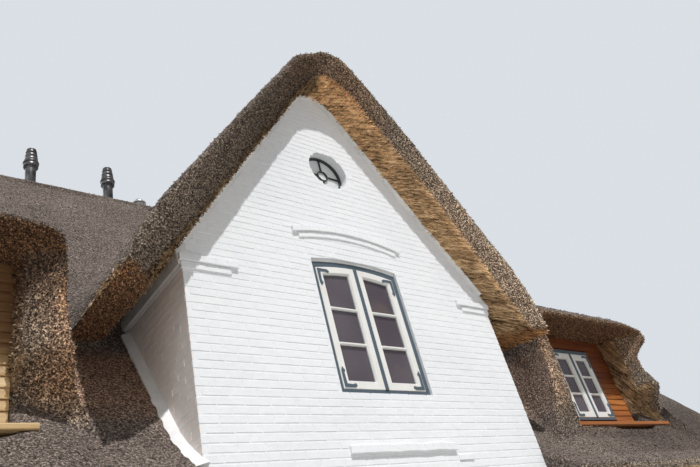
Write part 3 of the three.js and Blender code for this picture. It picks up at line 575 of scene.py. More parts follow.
def hood_half(right_side, right_dormer, z):
    """Half the hood's width. The right dormer's right cheek is slimmer under a wider brim."""
    flare = FLARE_GAIN * np.maximum(FLARE_START - z, 0) ** FLARE_POWER
    half = HOOD_HALF + flare * (1 - INNER_FLARE_LESS * (1 - right_side) * right_dormer)
    high = ramp(z, 4.32, 4.64)
    foot = CHEEK_SWELL * falling(z, 3.85, 4.15) + FOOT_SWELL * falling(z, 3.30, 3.70)
    return half + right_side * right_dormer * (BRIM_WIDER * high - CHEEK_SLIMMER * (1 - high) + foot)


def hood_top(side, right_side, right_dormer, depth, z):
    """The hood's top, which droops to the right and curves down in front of the wall."""
    ahead = np.minimum(depth, 0)
    droop = right_side * (HOOD_DROOP - RIGHT_HOOD_DROOP_LESS * right_dormer) * ramp(side, 0.9, 1.5)
    return (z - HOOD_CROWN + droop - HOOD_PITCH * depth + NOSE_CURVE * ahead**2) * TOP_FACTOR


def foot_fall(side):
    """How far the hollow at a cheek's foot lies lower, out from the window."""
    return FOOT_LINE_FALL * np.maximum(side - FOOT_LINE_FROM, 0)


def front_depth(side, right_side, z):
    """Depth of the hood's front: a brim above, cheeks below, and a hollow at the right foot."""
    front_at = CHEEK_FRONT - (BRIM_OUT + CHEEK_FRONT) * ramp(z, 4.40, 4.68)
    outward = foot_fall(side)
    low = ramp(FOOT_HEIGHT + FOOT_BLEND - outward - z, 0, FOOT_BLEND)
    hollow = np.clip(FOOT_HOLLOW - outward, 0.1, 1) * low
    return front_at + right_side * hollow + LEFT_FOOT_BACK * (1 - right_side) * falling(z, 3.2, 3.9)


def recess_at(side, right_side, right_dormer, depth, z):
    """The space taken out: a funnel in front of the boards, a bay behind them."""
    ahead_of_boards = np.maximum(DORMER_FACE - depth, 0)
    past_jamb = np.maximum(ahead_of_boards - FUNNEL_START, 0)
    spread = JAMB_SPREAD * (1 - right_side) + RIGHT_JAMB_SPREAD * right_side * right_dormer
    wall_half = DORMER_HALF + LEFT_DORMER_WIDER * right_side * (1 - right_dormer)
    mouth_half = wall_half + spread * ahead_of_boards + right_side * FUNNEL_GAIN * past_jamb
    steep = np.where(past_jamb > 0, 1 + right_side * RIGHT_JAMB_FACTOR, JAMB_FACTOR)
    ceiling = z - DORMER_CEILING - CEILING_RISE * ahead_of_boards
    mouth = larger((side - mouth_half) / steep, ceiling, 0.14)
    apron = DORMER_SILL_UNDER - APRON_LOWER + APRON_SLOPE * np.minimum(depth - APRON_FROM, 0)
    mouth = larger(mouth, (apron - z) * MOUTH_APRON_FACTOR, 0.05)
    mouth = np.maximum(mouth, side - MOUTH_REACH)
    bay = np.maximum(np.maximum(side - wall_half, z - DORMER_CEILING), DORMER_SILL_UNDER - z)
    bay = np.maximum(bay, depth - HOOD_BACK)
    return np.where(depth < DORMER_FACE, mouth, bay)


def hood(x, y, z):
    """(outside of the hood, its front, the recess) as distances."""
    side, right_side, right_dormer = dormer_side(x)
    depth = y + HALF_DEPTH
    flank = (side - hood_half(right_side, right_dormer, z)) * FLANK_FACTOR
    top = hood_top(side, right_side, right_dormer, depth, z)
    body = larger(np.maximum(flank, depth - HOOD_BACK), top, 0.16 + 0.29 * ramp(depth, 0.0, 0.8))
    front = (front_depth(side, right_side, z) - depth) * FRONT_FACTOR
    body = larger(body, front, 0.05)
    return body, front, recess_at(side, right_side, right_dormer, depth, z)


def apron_body(x, y, z):
    """The reed under the dormer's sill, which lifts the roof up to the sill."""
    side = np.abs(np.abs(x) - DORMER_AT)
    depth = y + HALF_DEPTH
    over_sill = z - DORMER_SILL_UNDER + APRON_LOWER
    top = (over_sill - APRON_SLOPE * (depth - APRON_FROM)) * APRON_FACTOR
    flat = over_sill - 0.45 * ramp(side, 1.02, 1.15)
    body = np.maximum(larger(top, flat, 0.08), depth - 0.8)
    return larger(body, side - APRON_HALF, 0.3)


def thatch(x, y, z):
    """The whole thatch, as one shell. Joins are tight low down and wide higher up."""
    top, eaves = main_roof(x, y, z)
    body, _, _, _ = gable_thatch(x, y, z)
    hood_body, _, recess = hood(x, y, z)
    filled = np.minimum(top, ridge_cap(x, y, z))
    filled = smaller(filled, apron_body(x, y, z), 0.12)
    filled = smaller(filled, hood_body, 0.04 + 0.39 * ramp(z, 3.60, 4.10))
    filled = smaller(filled, body, 0.06 + 0.30 * ramp(z, 4.55, 5.2))
    filled = larger(filled, eaves, 0.07)
    hollow = np.minimum(np.minimum(top + REED_THICKNESS, recess), gable_room(x, y, z))
    return larger(filled, -hollow, 0.05)


print("dormer hoods", 2 * HOOD_HALF, "m wide")

# %% [markdown]
# ## From distances to a mesh
# The distance is worked out on a grid of points. In each grid cell that the surface passes
# through, one vertex goes to the middle of the crossings on the cell's edges, and each grid
# edge that is crossed gets a face between the four cells around it. This is called surface
# nets. The front, which is seen closest, gets a finer grid than the ends and the rear. Where
# two skins meet, both run on a little and sink under the other, so no groove shows.

# %% Surface nets
CORNERS = np.array([(i, j, k) for i in (0, 1) for j in (0, 1) for k in (0, 1)])
EDGES = [(a, b) for a in range(8) for b in range(a + 1, 8) if np.abs(CORNERS[a] - CORNERS[b]).sum() == 1]


def cell_vertices(field):
    """Numbers the cells that the surface crosses, and gives each a vertex in grid units."""
    size = [n - 1 for n in field.shape]
    count = np.zeros(size, np.int8)
    for i, j, k in CORNERS:
        count += field[i : i + size[0], j : j + size[1], k : k + size[2]] < 0
    crossed = (count > 0) & (count < 8)
    cells = np.argwhere(crossed)
    number = np.full(size, -1, np.int32)
    number[crossed] = np.arange(len(cells))
    values = [field[tuple((cells + corner).T)] for corner in CORNERS]
    total = np.zeros((len(cells), 3))
    hits = np.zeros(len(cells))
    for a, b in EDGES:
        here = (values[a] < 0) != (values[b] < 0)
        share = values[a][here] / (values[a][here] - values[b][here])
        total[here] += CORNERS[a] + share[:, None] * (CORNERS[b] - CORNERS[a])
        hits[here] += 1
    return number, cells + total / hits[:, None]


def crossed_faces(field, number):
    """One four-sided face round each grid edge that the surface crosses."""
    faces = []
    for axis in range(3):
        inside = np.moveaxis(field < 0, axis, 0)
        cells = np.moveaxis(number, axis, 0)
        first, second = inside[:-1, 1:-1, 1:-1], inside[1:, 1:-1, 1:-1]
        for found, order in ((first & ~second, (0, 1, 2, 3)), (~first & second, (3, 2, 1, 0))):
            i, j, k = np.nonzero(found)
            ring = [cells[i, j, k], cells[i, j + 1, k], cells[i, j + 1, k + 1], cells[i, j, k + 1]]
            if axis == 1:
                ring = ring[::-1]
            faces.append(np.stack([ring[n] for n in order], axis=1))
    return np.concatenate(faces)


def mesh_from(name, places, faces):
    mesh = bpy.data.meshes.new(name)
    mesh.vertices.add(len(places))
    mesh.vertices.foreach_set("co", np.asarray(places, np.float32).ravel())
    sides = faces.shape[1]
    mesh.loops.add(faces.size)
    mesh.loops.foreach_set("vertex_index", faces.astype(np.int32).ravel())
    mesh.polygons.add(len(faces))
    mesh.polygons.foreach_set("loop_start", np.arange(0, faces.size, sides, dtype=np.int32))
    mesh.update(calc_edges=True)
    mesh.validate()
    return mesh


def linked(name, mesh):
    thing = bpy.data.objects.new(name, mesh)
    bpy.context.scene.collection.objects.link(thing)
    return thing


def put_layer(mesh, label, values):
    """Writes a number or a vector onto each vertex."""
    values = np.asarray(values, np.float32)
    kind, field = ("FLOAT_VECTOR", "vector") if values.ndim == 2 else ("FLOAT", "value")
    mesh.attributes.new(label, kind, "POINT").data.foreach_set(field, values.ravel())


def smoothed(mesh):
    mesh.polygons.foreach_set("use_smooth", np.ones(len(mesh.polygons), bool))


print("edges of a cell:", len(EDGES))

# %% [markdown]
# ## The four skins
# Each skin is the thatch inside one box, or outside the front's box for the rest. The front's
# box ends behind the ridge and beyond both dormers.

# %% Skins of reed
SEAMS = (-6.4, -2.9, 2.9, 6.4)
FRONT_SKINS = ("thatch_left_skin", "thatch_gable_skin", "thatch_right_skin")
FRONT_BOX = ((SEAMS[0], -4.6), (SEAMS[-1], 0.7))
WHOLE_BOX = ((-9.7, -4.6), (9.7, 4.6))
BOTTOM, TOP = 2.2, 8.62
GRID_SPARE = 0.2
FINE = 0.04
COARSE = 0.08
KEEP_FRONT = 0.34
KEEP_REST = 0.28
OVERLAP = 0.12
SINK = 0.3


def outside_box(x, y, low, high):
    """Distance outside an upright box in the plan."""
    return np.maximum(np.maximum(low[0] - x, x - high[0]), np.maximum(low[1] - y, y - high[1]))


def skin(name, low, high, step, around, share):
    """One closed skin: the thatch where around(x, y) is negative, with a sinking lap past it."""
    axes = [np.arange(a, b + step, step, dtype=np.float32) for a, b in zip(low, high)]
    x, y, z = np.meshgrid(*axes, indexing="ij", sparse=True)
    beyond = around(x, y)
    field = thatch(x, y, z) + SINK * np.maximum(beyond, 0)
    field = np.maximum(field, beyond - OVERLAP)
    number, places = cell_vertices(field)
    mesh = mesh_from(name, np.array(low) + places * step, crossed_faces(field, number))
    return thinned(linked(name, mesh), share)


def thinned(piece, share):
    """Keeps that share of the triangles, most of them where the surface bends."""
    modifier = piece.modifiers.new("fewer", "DECIMATE")
    modifier.ratio = share
    ready = piece.evaluated_get(bpy.context.evaluated_depsgraph_get())
    mesh = bpy.data.meshes.new_from_object(ready)
    piece.modifiers.remove(modifier)
    piece.data = mesh
    smoothed(mesh)
    print(piece.name, len(mesh.polygons), "triangles")
    return piece


def front_part(left, right):
    """The distance outside one of the front's three boxes."""

    def around(x, y):
        return outside_box(x, y, (left, FRONT_BOX[0][1]), (right, FRONT_BOX[1][1]))

    return around


def rest_part(x, y):
    return -outside_box(x, y, *FRONT_BOX)


skins = {}
for name, left, right in zip(FRONT_SKINS, SEAMS, SEAMS[1:]):
    low = (left - GRID_SPARE, FRONT_BOX[0][1], BOTTOM)
    high = (right + GRID_SPARE, FRONT_BOX[1][1] + GRID_SPARE, TOP)
    skins[name] = skin(name, low, high, FINE, front_part(left, right), KEEP_FRONT)
low, high = (*WHOLE_BOX[0], BOTTOM), (*WHOLE_BOX[1], TOP)
skins["thatch_rear_skin"] = skin("thatch_rear_skin", low, high, COARSE, rest_part, KEEP_REST)

# %% [markdown]
# ## Waves
# Real thatch is dressed by hand, so no slope is flat: it has broad soft waves and small dents.
# Random numbers on a lattice, smoothly blended, push each point out or in along its normal. Only
# the outer side is moved, because nobody sees the inner one.

# %% Waves
LATTICE_SIZE = 4096
LATTICE = np.random.default_rng(5).uniform(-1, 1, LATTICE_SIZE)
HASH = (73856093, 19349663, 83492791)
# Height and width of the waves, the dents and the marks of the dressing tool
RIPPLES = ((0.010, 0.75), (0.005, 0.24), (0.004, 0.09))
OUTER_SIDE = -0.05


def ripples(points, size):
    """Smooth random heights from -1 to 1, with bumps about one size across."""
    scaled = points / size
    base = np.floor(scaled).astype(np.int64)
    part = scaled - base
    part = part * part * (3 - 2 * part)
    total = np.zeros(len(points))
    for corner in CORNERS:
        i, j, k = (base + corner).T
        key = (i * HASH[0] ^ j * HASH[1] ^ k * HASH[2]) & (LATTICE_SIZE - 1)
        weight = np.where(corner, part, 1 - part).prod(axis=1)
        total += LATTICE[key] * weight
    return total


def point_data(mesh):
    """Places and normals of a mesh's vertices."""
    places = np.empty(len(mesh.vertices) * 3, np.float32)
    mesh.vertices.foreach_get("co", places)
    normals = np.empty(len(mesh.vertices) * 3, np.float32)
    mesh.vertex_normals.foreach_get("vector", normals)
    return places.reshape(-1, 3).astype(float), normals.reshape(-1, 3).astype(float)


def wave(piece):
    places, normals = point_data(piece.data)
    outward = sum(height * ripples(places, width) for height, width in RIPPLES)
    outside = thatch(*places.T) > OUTER_SIDE
    places += normals * (outward * outside)[:, None]
    piece.data.vertices.foreach_set("co", places.astype(np.float32).ravel())
    piece.data.update()


for piece in skins.values():
    wave(piece)
print("height and width of the waves:", RIPPLES[0])

# %% [markdown]
# ## Zones of the gable and the dormers
# Every point of a skin is asked which of the bodies it lies on, and how far it is from their
# edges. That tells a cut face from the weathered top, and an underside with whole reeds from
# both. Each zone is a number from 0 to 1 with a soft edge, so the finishes run into each other
# as the reeds do.

# %% Zones
ON_BODY = 0.05
VERGE_REACH, EDGE_REACH = 0.035, 0.14
UNDER_FRONT = -3.5
FOOT_FROM_MIDDLE = 1.9
FOOT_LOW, FOOT_HIGH, FOOT_FRONT = 4.0, 4.8, -2.6
HOOD_ZONE_FOOT = (3.05, 3.35)
FUNNEL_TOP, CHEEK_TOP = 4.9, 4.75
FUNNEL_FRONT = -0.3
HOOD_LINE_LOWER = 0.12
LEFT_JAMB_SHARE, GOLD_CHEEK_SHARE = 0.5, 0.85


def near(distance, reach):
    """1 on the surface where a distance is zero, 0 further than twice the reach from it."""
    return 1 - ramp(np.abs(distance), reach, 2 * reach)


class Spots:
    """Points of a skin, with their distances to the bodies of the thatch."""

    def __init__(self, places, normals):
        self.places, self.normals = places, normals
        self.x, self.y, self.z = places.T
        self.down = -normals[:, 2]
        self.on_right = self.x > 0
        self.depth = self.y + HALF_DEPTH
        self.side, self.right_side, self.right_dormer = dormer_side(self.x)
        self.top, self.eaves = main_roof(*places.T)
        self.body, self.gable_top, self.verge, self.under = gable_thatch(*places.T)
        self.hood_body, self.hood_front, self.recess = hood(*places.T)


def gable_zones(at):
    """The cut verge and its inner edge, the underside, and the foot of each slope."""
    on_gable = near(at.body, ON_BODY)
    on_under = on_gable * near(at.under, ON_BODY) * (at.y < UNDER_FRONT)
    low_down = (np.abs(at.x) > FOOT_FROM_MIDDLE) * (at.z > FOOT_LOW) * (at.z < FOOT_HIGH)
    foot = on_gable * ramp(at.down, 0.60, 0.85) * low_down * (at.y < FOOT_FRONT)
    verge = on_gable * near(at.verge, VERGE_REACH) * ramp(-at.gable_top, 0.0, 0.05)
    past_edge = 0.12 * falling(at.x, -0.35, 0.05)
    return SimpleNamespace(
        verge=verge * (1 - foot),
        inner_edge=on_under * near(at.verge, EDGE_REACH) * (at.x < 0.05) * (at.z > 4.2),
        under=on_under * ramp(-at.verge - past_edge, 0.01, 0.06),
        left_foot=foot * ~at.on_right,
        right_foot=foot * at.on_right,
    )


def dormer_zones(at):
    """The brim's underside, the cut faces of the cheeks, and the jambs beside the boards."""
    over_foot = ramp(at.z, *HOOD_ZONE_FOOT)
    funnel = near(at.recess, 0.04) * (at.depth < DORMER_FACE + 0.05) * (at.depth > FUNNEL_FRONT)
    funnel = funnel * over_foot * (at.z < FUNNEL_TOP)
    cheek = near(at.hood_front, 0.03) * near(at.hood_body, 0.04) * over_foot * (at.z < CHEEK_TOP)
    brim = funnel * ramp(at.down, 0.25, 0.55) * ramp(at.z, 4.35, 4.55)
    foot_line = FOOT_HEIGHT - HOOD_LINE_LOWER - foot_fall(at.side)
    above_foot = 1 - at.right_side * (1 - ramp(at.z - foot_line, 0, 0.08))
    above_foot = above_foot * (at.side < MOUTH_REACH + 0.02)
    funnel, cheek = funnel * above_foot, cheek * above_foot
    jamb = funnel * ramp(at.depth, 0.14, 0.26) * (at.side > 0.9) * (1 - brim)
    inside_edge = ramp(hood_half(at.right_side, at.right_dormer, at.z) - at.side, 0.08, 0.20)
    gold = cheek * at.right_side * at.on_right * falling(at.z, 4.2, 4.5) * inside_edge
    lined = np.maximum(jamb * np.where(at.on_right, 1.0, LEFT_JAMB_SHARE), gold * GOLD_CHEEK_SHARE)
    return SimpleNamespace(brim=brim, cut=np.maximum(funnel, cheek), jamb=jamb, lined=lined)


def all_zones(at):
    """The gable's and the dormers' zones, the eaves, and what is cut and lined in all."""
    gable, dormer = gable_zones(at), dormer_zones(at)
    eaves = near(at.eaves, ON_BODY) * ramp(-at.top, 0.0, 0.05) * falling(at.z, 2.65, 2.75)
    soffit = ramp(at.down, 0.35, 0.6) * (at.z < 2.7)
    cut = np.clip(gable.verge + gable.inner_edge + dormer.cut + eaves + gable.left_foot, 0, 1)
    lined = np.clip(gable.under * (1 - gable.left_foot) + dormer.lined + soffit, 0, 1)
    return SimpleNamespace(gable=gable, dormer=dormer, eaves=eaves, soffit=soffit, cut=cut, lined=lined)


print("feet of the gable's thatch from", FOOT_LOW, "to", FOOT_HIGH, "m high")

# %% [markdown]
# ## Tints
# Some tints are painted light and shade. Under the dormers' brims the reed gets a painted shade,
# orange and darker, with a painted shadow of the brim on the left dormer's right cheek and on the
# right dormer's upper jambs. The left verge gets a painted shade, and the right verge and the
# right underside a painted light. The roof beside the gable's cheeks lies in the shade of the
# gable's eaves and gets a warm painted light. The gable's feet are orange, the right one darker,
# and the low roof at the far right is darker. Each tint is a sum of zones, each with its weight.

# %% Tints
# The roof in the shade of the gable's eaves, which gets a painted light
EAVES_SHADE_SIDE = (2.9, 3.3)
EAVES_SHADE_FRONT = -2.6
# Where the painted shadow of the brim ends on the left dormer's right cheek
BRIM_SHADOW_LINE = (1.08, 4.02)
BRIM_SHADOW_SLOPE = 1.15
FAR_RIGHT = (2.8, 3.8)


def roof_in_eaves_shade(at):
    """The main roof between the gable's cheeks and the dormers, in the shade of the gable's eaves."""
    beside = falling(np.abs(at.x), *EAVES_SHADE_SIDE) * (np.abs(at.x) > 2.0)
    return beside * falling(at.z, 4.2, 4.4) * ramp(at.z, 3.3, 3.7) * (at.y < EAVES_SHADE_FRONT)


def warm_tint(at, gable, dormer, shade_zone):
    # painted shade under the brims: orange on the brim and on the cut faces just below it
    under_hood = dormer.cut * (1 - dormer.brim) * ramp(at.z, 4.0, 4.4)
    warm = 0.75 * gable.left_foot + 0.80 * dormer.brim + 0.45 * under_hood
    # warm painted light on the roof in the eaves' shade, stronger on the left
    warm = warm + (0.45 - 0.25 * at.on_right) * shade_zone
    return np.clip(warm + 0.55 * gable.right_foot + 0.35 * gable.verge * near(at.x, 0.5), 0, 1)


def dark_and_shade_tint(at, gable, dormer):
    # painted shade on the left verge, darker higher up
    left_verge = np.maximum(gable.verge, gable.inner_edge) * falling(at.x, -0.3, 0.1)
    dark = left_verge * (0.28 + 0.22 * ramp(at.z, 4.8, 5.6) + 0.26 * ramp(at.z, 5.6, 6.6))
    # painted shade under the brims; the gable's feet are darker, the right one more
    dark += 0.45 * dormer.brim + 0.08 * gable.left_foot + 0.30 * gable.right_foot
    # a painted shadow of the brim on the left dormer's right cheek
    over_shadow_line = at.z - BRIM_SHADOW_LINE[1] - BRIM_SHADOW_SLOPE * (at.side - BRIM_SHADOW_LINE[0])
    brim_shadow = dormer.cut * at.right_side * ~at.on_right * ramp(over_shadow_line, -0.03, 0.05)
    dark += 0.80 * brim_shadow * (1 - dormer.brim)
    # the low roof at the far right is darker
    roof_front = (at.y < -2.8) * (at.z > 2.75) * (1 - dormer.cut)
    dark += 0.72 * ramp(at.x, *FAR_RIGHT) * falling(at.z, 3.4, 4.2) * roof_front
    # painted shade on the right dormer's jambs, high up under the brim
    return np.clip(dark + 0.55 * dormer.jamb * at.on_right * ramp(at.z, 3.9, 4.3), 0, 1)


def painted_light_tint(at, gable, shade_zone):
    # painted light on the right verge, strongest low down
    right_verge = gable.verge * ramp(at.x, 0.0, 0.4)
    light = right_verge * (0.20 + 1.1 * falling(at.z, 5.4, 7.2))
    # painted light on the right rake's underside, strongest high up
    high_under = 0.28 + 0.20 * ramp(at.z, 4.9, 5.6) + 0.50 * ramp(at.z, 6.2, 7.4)
    light += gable.under * at.on_right * high_under
    # painted light on the roof in the eaves' shade, and a little on the left foot
    return np.clip(light + shade_zone + 0.15 * gable.left_foot, 0, 1)


print("sheltered roof out to", EAVES_SHADE_SIDE[1], "m from the gable's middle")

# %% [markdown]
# ## How the reeds lie
# Reeds lie down the slope on top, stick out of the cut faces, and point forwards and down under
# the overhangs. Near the crown the two slopes' reeds fan together. The direction, the size of a
# stalk and how many there are go onto the mesh beside the zones and the tints.

# %% Lie, size and number of the reeds
REED_TOP = (0.0045, 0.0045, 0.055)
REED_CUT = (0.0055, 0.0055, 0.034)
REED_UNDER = (0.0050, 0.0050, 0.170)
RAKE = (0.51, -0.86)
SPLAY = (0.30, -0.40)
FAN_IN = 0.80
FRONT_HALF, FRONT_BACK = 6.3, 0.5
FEWEST = 0.06


def towards(share, first, second):
    """Vectors moved towards others by a share."""
    return first + share[:, None] * (second - first)


def down_slope(at):
    """The steepest way down along the surface."""
    down = np.zeros_like(at.places)
    down[:, 2] = -1
    down -= (down * at.normals).sum(axis=1)[:, None] * at.normals
    return down / (np.linalg.norm(down, axis=1)[:, None] + 1e-6)


def reed_lie(at, zone):
    forwards = -np.ones_like(at.x)
    fan = 1.0 - FAN_IN * ramp(at.z, 6.2, 7.8)
    rake = np.stack([RAKE[0] * np.sign(at.x) * fan, forwards, RAKE[1] * fan], axis=1)
    away = np.sign(at.right_side - 0.5)
    splay = np.stack([SPLAY[0] * away, -SPLAY[1] * forwards, forwards], axis=1)
    lie = towards(zone.cut, down_slope(at) * 0.92 + at.normals * 0.40, at.normals)
    under = towards(np.clip(zone.dormer.lined, 0, 1), rake, splay)
    return towards(zone.lined, lie, under + 0.10 * at.normals)


def reed_size(zone):
    rows = (len(zone.cut), 1)
    size = towards(zone.cut, np.tile(REED_TOP, rows), np.tile(REED_CUT, rows))
    return towards(zone.lined, size, np.tile(REED_UNDER, rows))


def reed_density(at, zone):
    """How thickly single stalks stand, from 0 to 1: on the front only, and none indoors."""
    outer = (np.abs(thatch(at.x, at.y, at.z)) < ON_BODY) & (at.top > 0.06 - REED_THICKNESS)
    on_front = (np.abs(at.x) < FRONT_HALF) & (at.y < FRONT_BACK)
    in_room = (np.abs(at.x) < GABLE_HALF + 0.05) & (at.depth > 0.02) & (at.gable_top < -0.12)
    dense = np.clip(FEWEST + 0.8 * zone.cut + zone.lined, 0, 1) * outer * on_front * ~in_room
    return dense * (1 - zone.soffit) * (1 - 0.6 * zone.eaves)


def paint_layers(places, normals):
    """All that is painted on a skin, by the name under which the finish or the stalks read it."""
    at = Spots(places, normals)
    zone = all_zones(at)
    # the roof in the gable eaves' shade, which gets a painted light
    shade_zone = roof_in_eaves_shade(at)
    return {
        "cut": zone.cut,
        "under": zone.lined,
        "warm": warm_tint(at, zone.gable, zone.dormer, shade_zone),
        "dark": dark_and_shade_tint(at, zone.gable, zone.dormer),
        "light": painted_light_tint(at, zone.gable, shade_zone),
        "density": reed_density(at, zone),
        "lie": reed_lie(at, zone),
        "size": reed_size(zone),
    }


def paint(piece):
    layers = paint_layers(*point_data(piece.data))
    for label, values in layers.items():
        put_layer(piece.data, label, values)
    shares = {label: round(float(layers[label].mean()), 3) for label in list(layers)[:5]}
    print(piece.name, shares)


for piece in skins.values():
    paint(piece)
    piece.data.materials.clear()
    piece.data.materials.append(REED)

# %% Stand in for the plain thatch
STANDS_FOR = {
    "thatch_left_skin": ("thatch_front_left", "dormer_thatch_left"),
    "thatch_gable_skin": ("gable_thatch",),
    "thatch_right_skin": ("thatch_front_right", "dormer_thatch_right"),
    "thatch_rear_skin": ("thatch_rear", "thatch_hip_left", "thatch_hip_right", "thatch_ridge"),
}
for name, nodes in STANDS_FOR.items():
    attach(skins[name], "root")
    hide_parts(*nodes)
    print(name, "stands for", *nodes)

# %% [markdown]
# ## Joinery, as loops
# Frames, sashes, bars and boards are all the same kind of body: an outline, drawn on a wall, that
# runs from a back to a front with a small chamfer along its front edge. A modifier could bevel a
# box, but here the outline is moved inwards corner by corner and the loops are joined by bands
# of faces, which keeps each piece at a few dozen faces and its corners true. Points are given
# along the wall, into it and up, so one window serves all four walls.

# %% Places on the walls
def on_wall(origin, along, into):
    """Turns points given along a wall, into it and up into places on the house."""
    origin, along, into = np.array(origin, float), np.array(along, float), np.array(into, float)

    def place(points):
        points = np.asarray(points, float)
        return origin + points[:, :1] * along + points[:, 1:2] * into + points[:, 2:] * (0, 0, 1)

    return place


def shifted(place, sideways):
    """The same wall's places, moved along it."""

    def moved(points):
        return place(np.asarray(points, float) + (sideways, 0, 0))

    return moved


def on_house(points):
    """For points that are already places on the house."""
    return np.asarray(points, float)


ON_FRONT = on_wall((0, -HALF_DEPTH, 0), (1, 0, 0), (0, 1, 0))
ON_REAR = on_wall((0, HALF_DEPTH, 0), (-1, 0, 0), (0, -1, 0))
ON_RIGHT_END = on_wall((HALF_LENGTH, 0, 0), (0, 1, 0), (-1, 0, 0))
ON_LEFT_END = on_wall((-HALF_LENGTH, 0, 0), (0, -1, 0), (1, 0, 0))
print("front wall at y =", ON_FRONT([(0, 0, 0)])[0][1])


# %% Lofted bodies
def inset(outline, by):
    """The outline moved inwards, corner by corner. It runs counter-clockwise."""
    points = np.asarray(outline, float)
    before = points - np.roll(points, 1, axis=0)
    after = np.roll(points, -1, axis=0) - points
    assert (before != 0).any(axis=1).all(), "doubled point"
    first = np.stack([-before[:, 1], before[:, 0]], axis=1) / np.linalg.norm(before, axis=1)[:, None]
    second = np.stack([-after[:, 1], after[:, 0]], axis=1) / np.linalg.norm(after, axis=1)[:, None]
    mitre = (first + second) / (1 + (first * second).sum(axis=1))[:, None]
    return points + by * mitre


def at_depth(outline, depth):
    return [(along, depth, up) for along, up in outline]


class Joinery:
    """A mesh under construction, to which bodies are added one by one."""

    def __init__(self, name):
        self.name = name
        self.places = []
        self.faces = []

    def loft(self, loops, place, ring=False):
        """Bands of faces between loops of points. A ring closes on itself, others get end caps."""
        start, count, rows = len(self.places), len(loops[0]), len(loops)
        for loop in loops:
            self.places.extend(place(loop))
        for row in range(rows if ring else rows - 1):
            here, there = start + row * count, start + (row + 1) % rows * count
            for i in range(count):
                j = (i + 1) % count
                self.faces.append((here + i, here + j, there + j, there + i))
        if not ring:
            self.faces.append(tuple(range(start + count - 1, start - 1, -1)))
            self.faces.append(tuple(range(start + (rows - 1) * count, start + rows * count)))

    def slab(self, outline, front, back, chamfer, place):
        """A flat body with a chamfer round its front."""
        loops = [(outline, back), (outline, front + chamfer), (inset(outline, chamfer), front)]
        self.loft([at_depth(line, depth) for line, depth in loops], place)

    def frame(self, outer, width, front, back, chamfer, place, bevel=(0.004, 0.004)):
        """A closed frame; bevel is the width and depth of the slope on its inner edge."""
        loops = [
            (outer, back),
            (outer, front + chamfer),
            (inset(outer, chamfer), front),
            (inset(outer, width - bevel[0]), front),
            (inset(outer, width), front + bevel[1]),
            (inset(outer, width), back),
        ]
        self.loft([at_depth(line, depth) for line, depth in loops], place, ring=True)

    def done(self, finish, slot, *nodes):
        """Becomes an object that rides on the house and stands for CAD nodes."""
        mesh = bpy.data.meshes.new(self.name)
        mesh.from_pydata([tuple(place) for place in self.places], [], self.faces)
        shell = bmesh.new()
        shell.from_mesh(mesh)
        bmesh.ops.recalc_face_normals(shell, faces=shell.faces)
        shell.to_mesh(mesh)
        shell.free()
        mesh.materials.append(finish)
        made = linked(self.name, mesh)
        dressed(made, slot, *nodes)
        return made


def dressed(piece, slot, *nodes):
    """Hands a finished piece to the frame."""
    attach(piece, "root")
    if nodes:
        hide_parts(*nodes)
    print(piece.name, len(piece.data.polygons), "faces")


def rectangle(left, right, low, high):
    return [(left, low), (right, low), (right, high), (left, high)]


print("a rectangle inset by 1:", inset(rectangle(0, 4, 0, 3), 1).tolist())

# %% [markdown]
# ## Paint and glass
# The windows are gloss-painted timber: blue-grey frames, off-white sashes. A brush leaves long
# faint ridges, and dust gathers in patches, so a stretched noise feeds a shallow bump and a
# broad one shifts the tone. The panes are a dark purple-grey, a painted shade for the dark rooms
# behind them, and a little of the room shows through them. Their tone shifts slowly from place to
# place and slanting streaks cross them, which is a painted reflection.

# %% Paint finishes
GRIME = (0.80, 0.76, 0.70)
BRUSH_SHADE = (0.7, 0.7, 0.7)
# The streaks' colour, part of the painted reflection on the panes
REFLECTION_STREAK = (0.16, 0.12, 0.10)


def paint_finish(name, colour, roughness=0.35):
    f = Finish(name)
    point = f.place()
    patches = f.noise(point, 2.3, 4.0)
    brush = f.noise(f.place((1, 1, 0.08)), 160.0, 3.0)
    tinted = f.multiply(patches.step(0.45, 0.75) * 0.35, colour, GRIME)
    tinted = f.multiply(brush * 0.10, tinted, BRUSH_SHADE)
    gloss = patches * 0.25 + brush * 0.1 + roughness - 0.15
    return f.use(Base_Color=tinted, Roughness=gloss, Normal=f.bump(brush, 0.002, 0.5))


def glass_finish(name, dark, light, alpha=0.88, streaks=0.5):
    f = Finish(name)
    point = f.place()
    # painted reflection: slow clouds and slanting streaks in the panes' tone
    reflection_clouds = f.noise(point, 0.9, 2.0)
    streak = f.noise(f.place((1, 1, 1), (0, math.radians(40), 0)), 2.1, 1.0)
    tone = f.blend(reflection_clouds.step(0.35, 0.65), dark, light)
    tone = f.blend(streak.step(0.58, 0.72) * streaks, tone, REFLECTION_STREAK)
    ripple = f.bump(f.noise(point, 3.0, 1.0), 0.003, 0.3)
    f.material.surface_render_method = "BLENDED"
    return f.use(Base_Color=tone, Roughness=0.05, Alpha=alpha, Specular_IOR_Level=0.6, Normal=ripple)


BLUE_GREY = paint_finish("blue_grey_paint_on_timber", (0.085, 0.115, 0.145))
BLACK_IRON = paint_finish("black_paint_on_iron", (0.026, 0.029, 0.032), 0.45)
OFF_WHITE = paint_finish("off_white_paint_on_timber", (0.83, 0.82, 0.79), 0.3)
# The panes' dark colour is a painted shade for the rooms behind them
GLASS = glass_finish("window_glass", (0.085, 0.066, 0.082), (0.125, 0.108, 0.125))
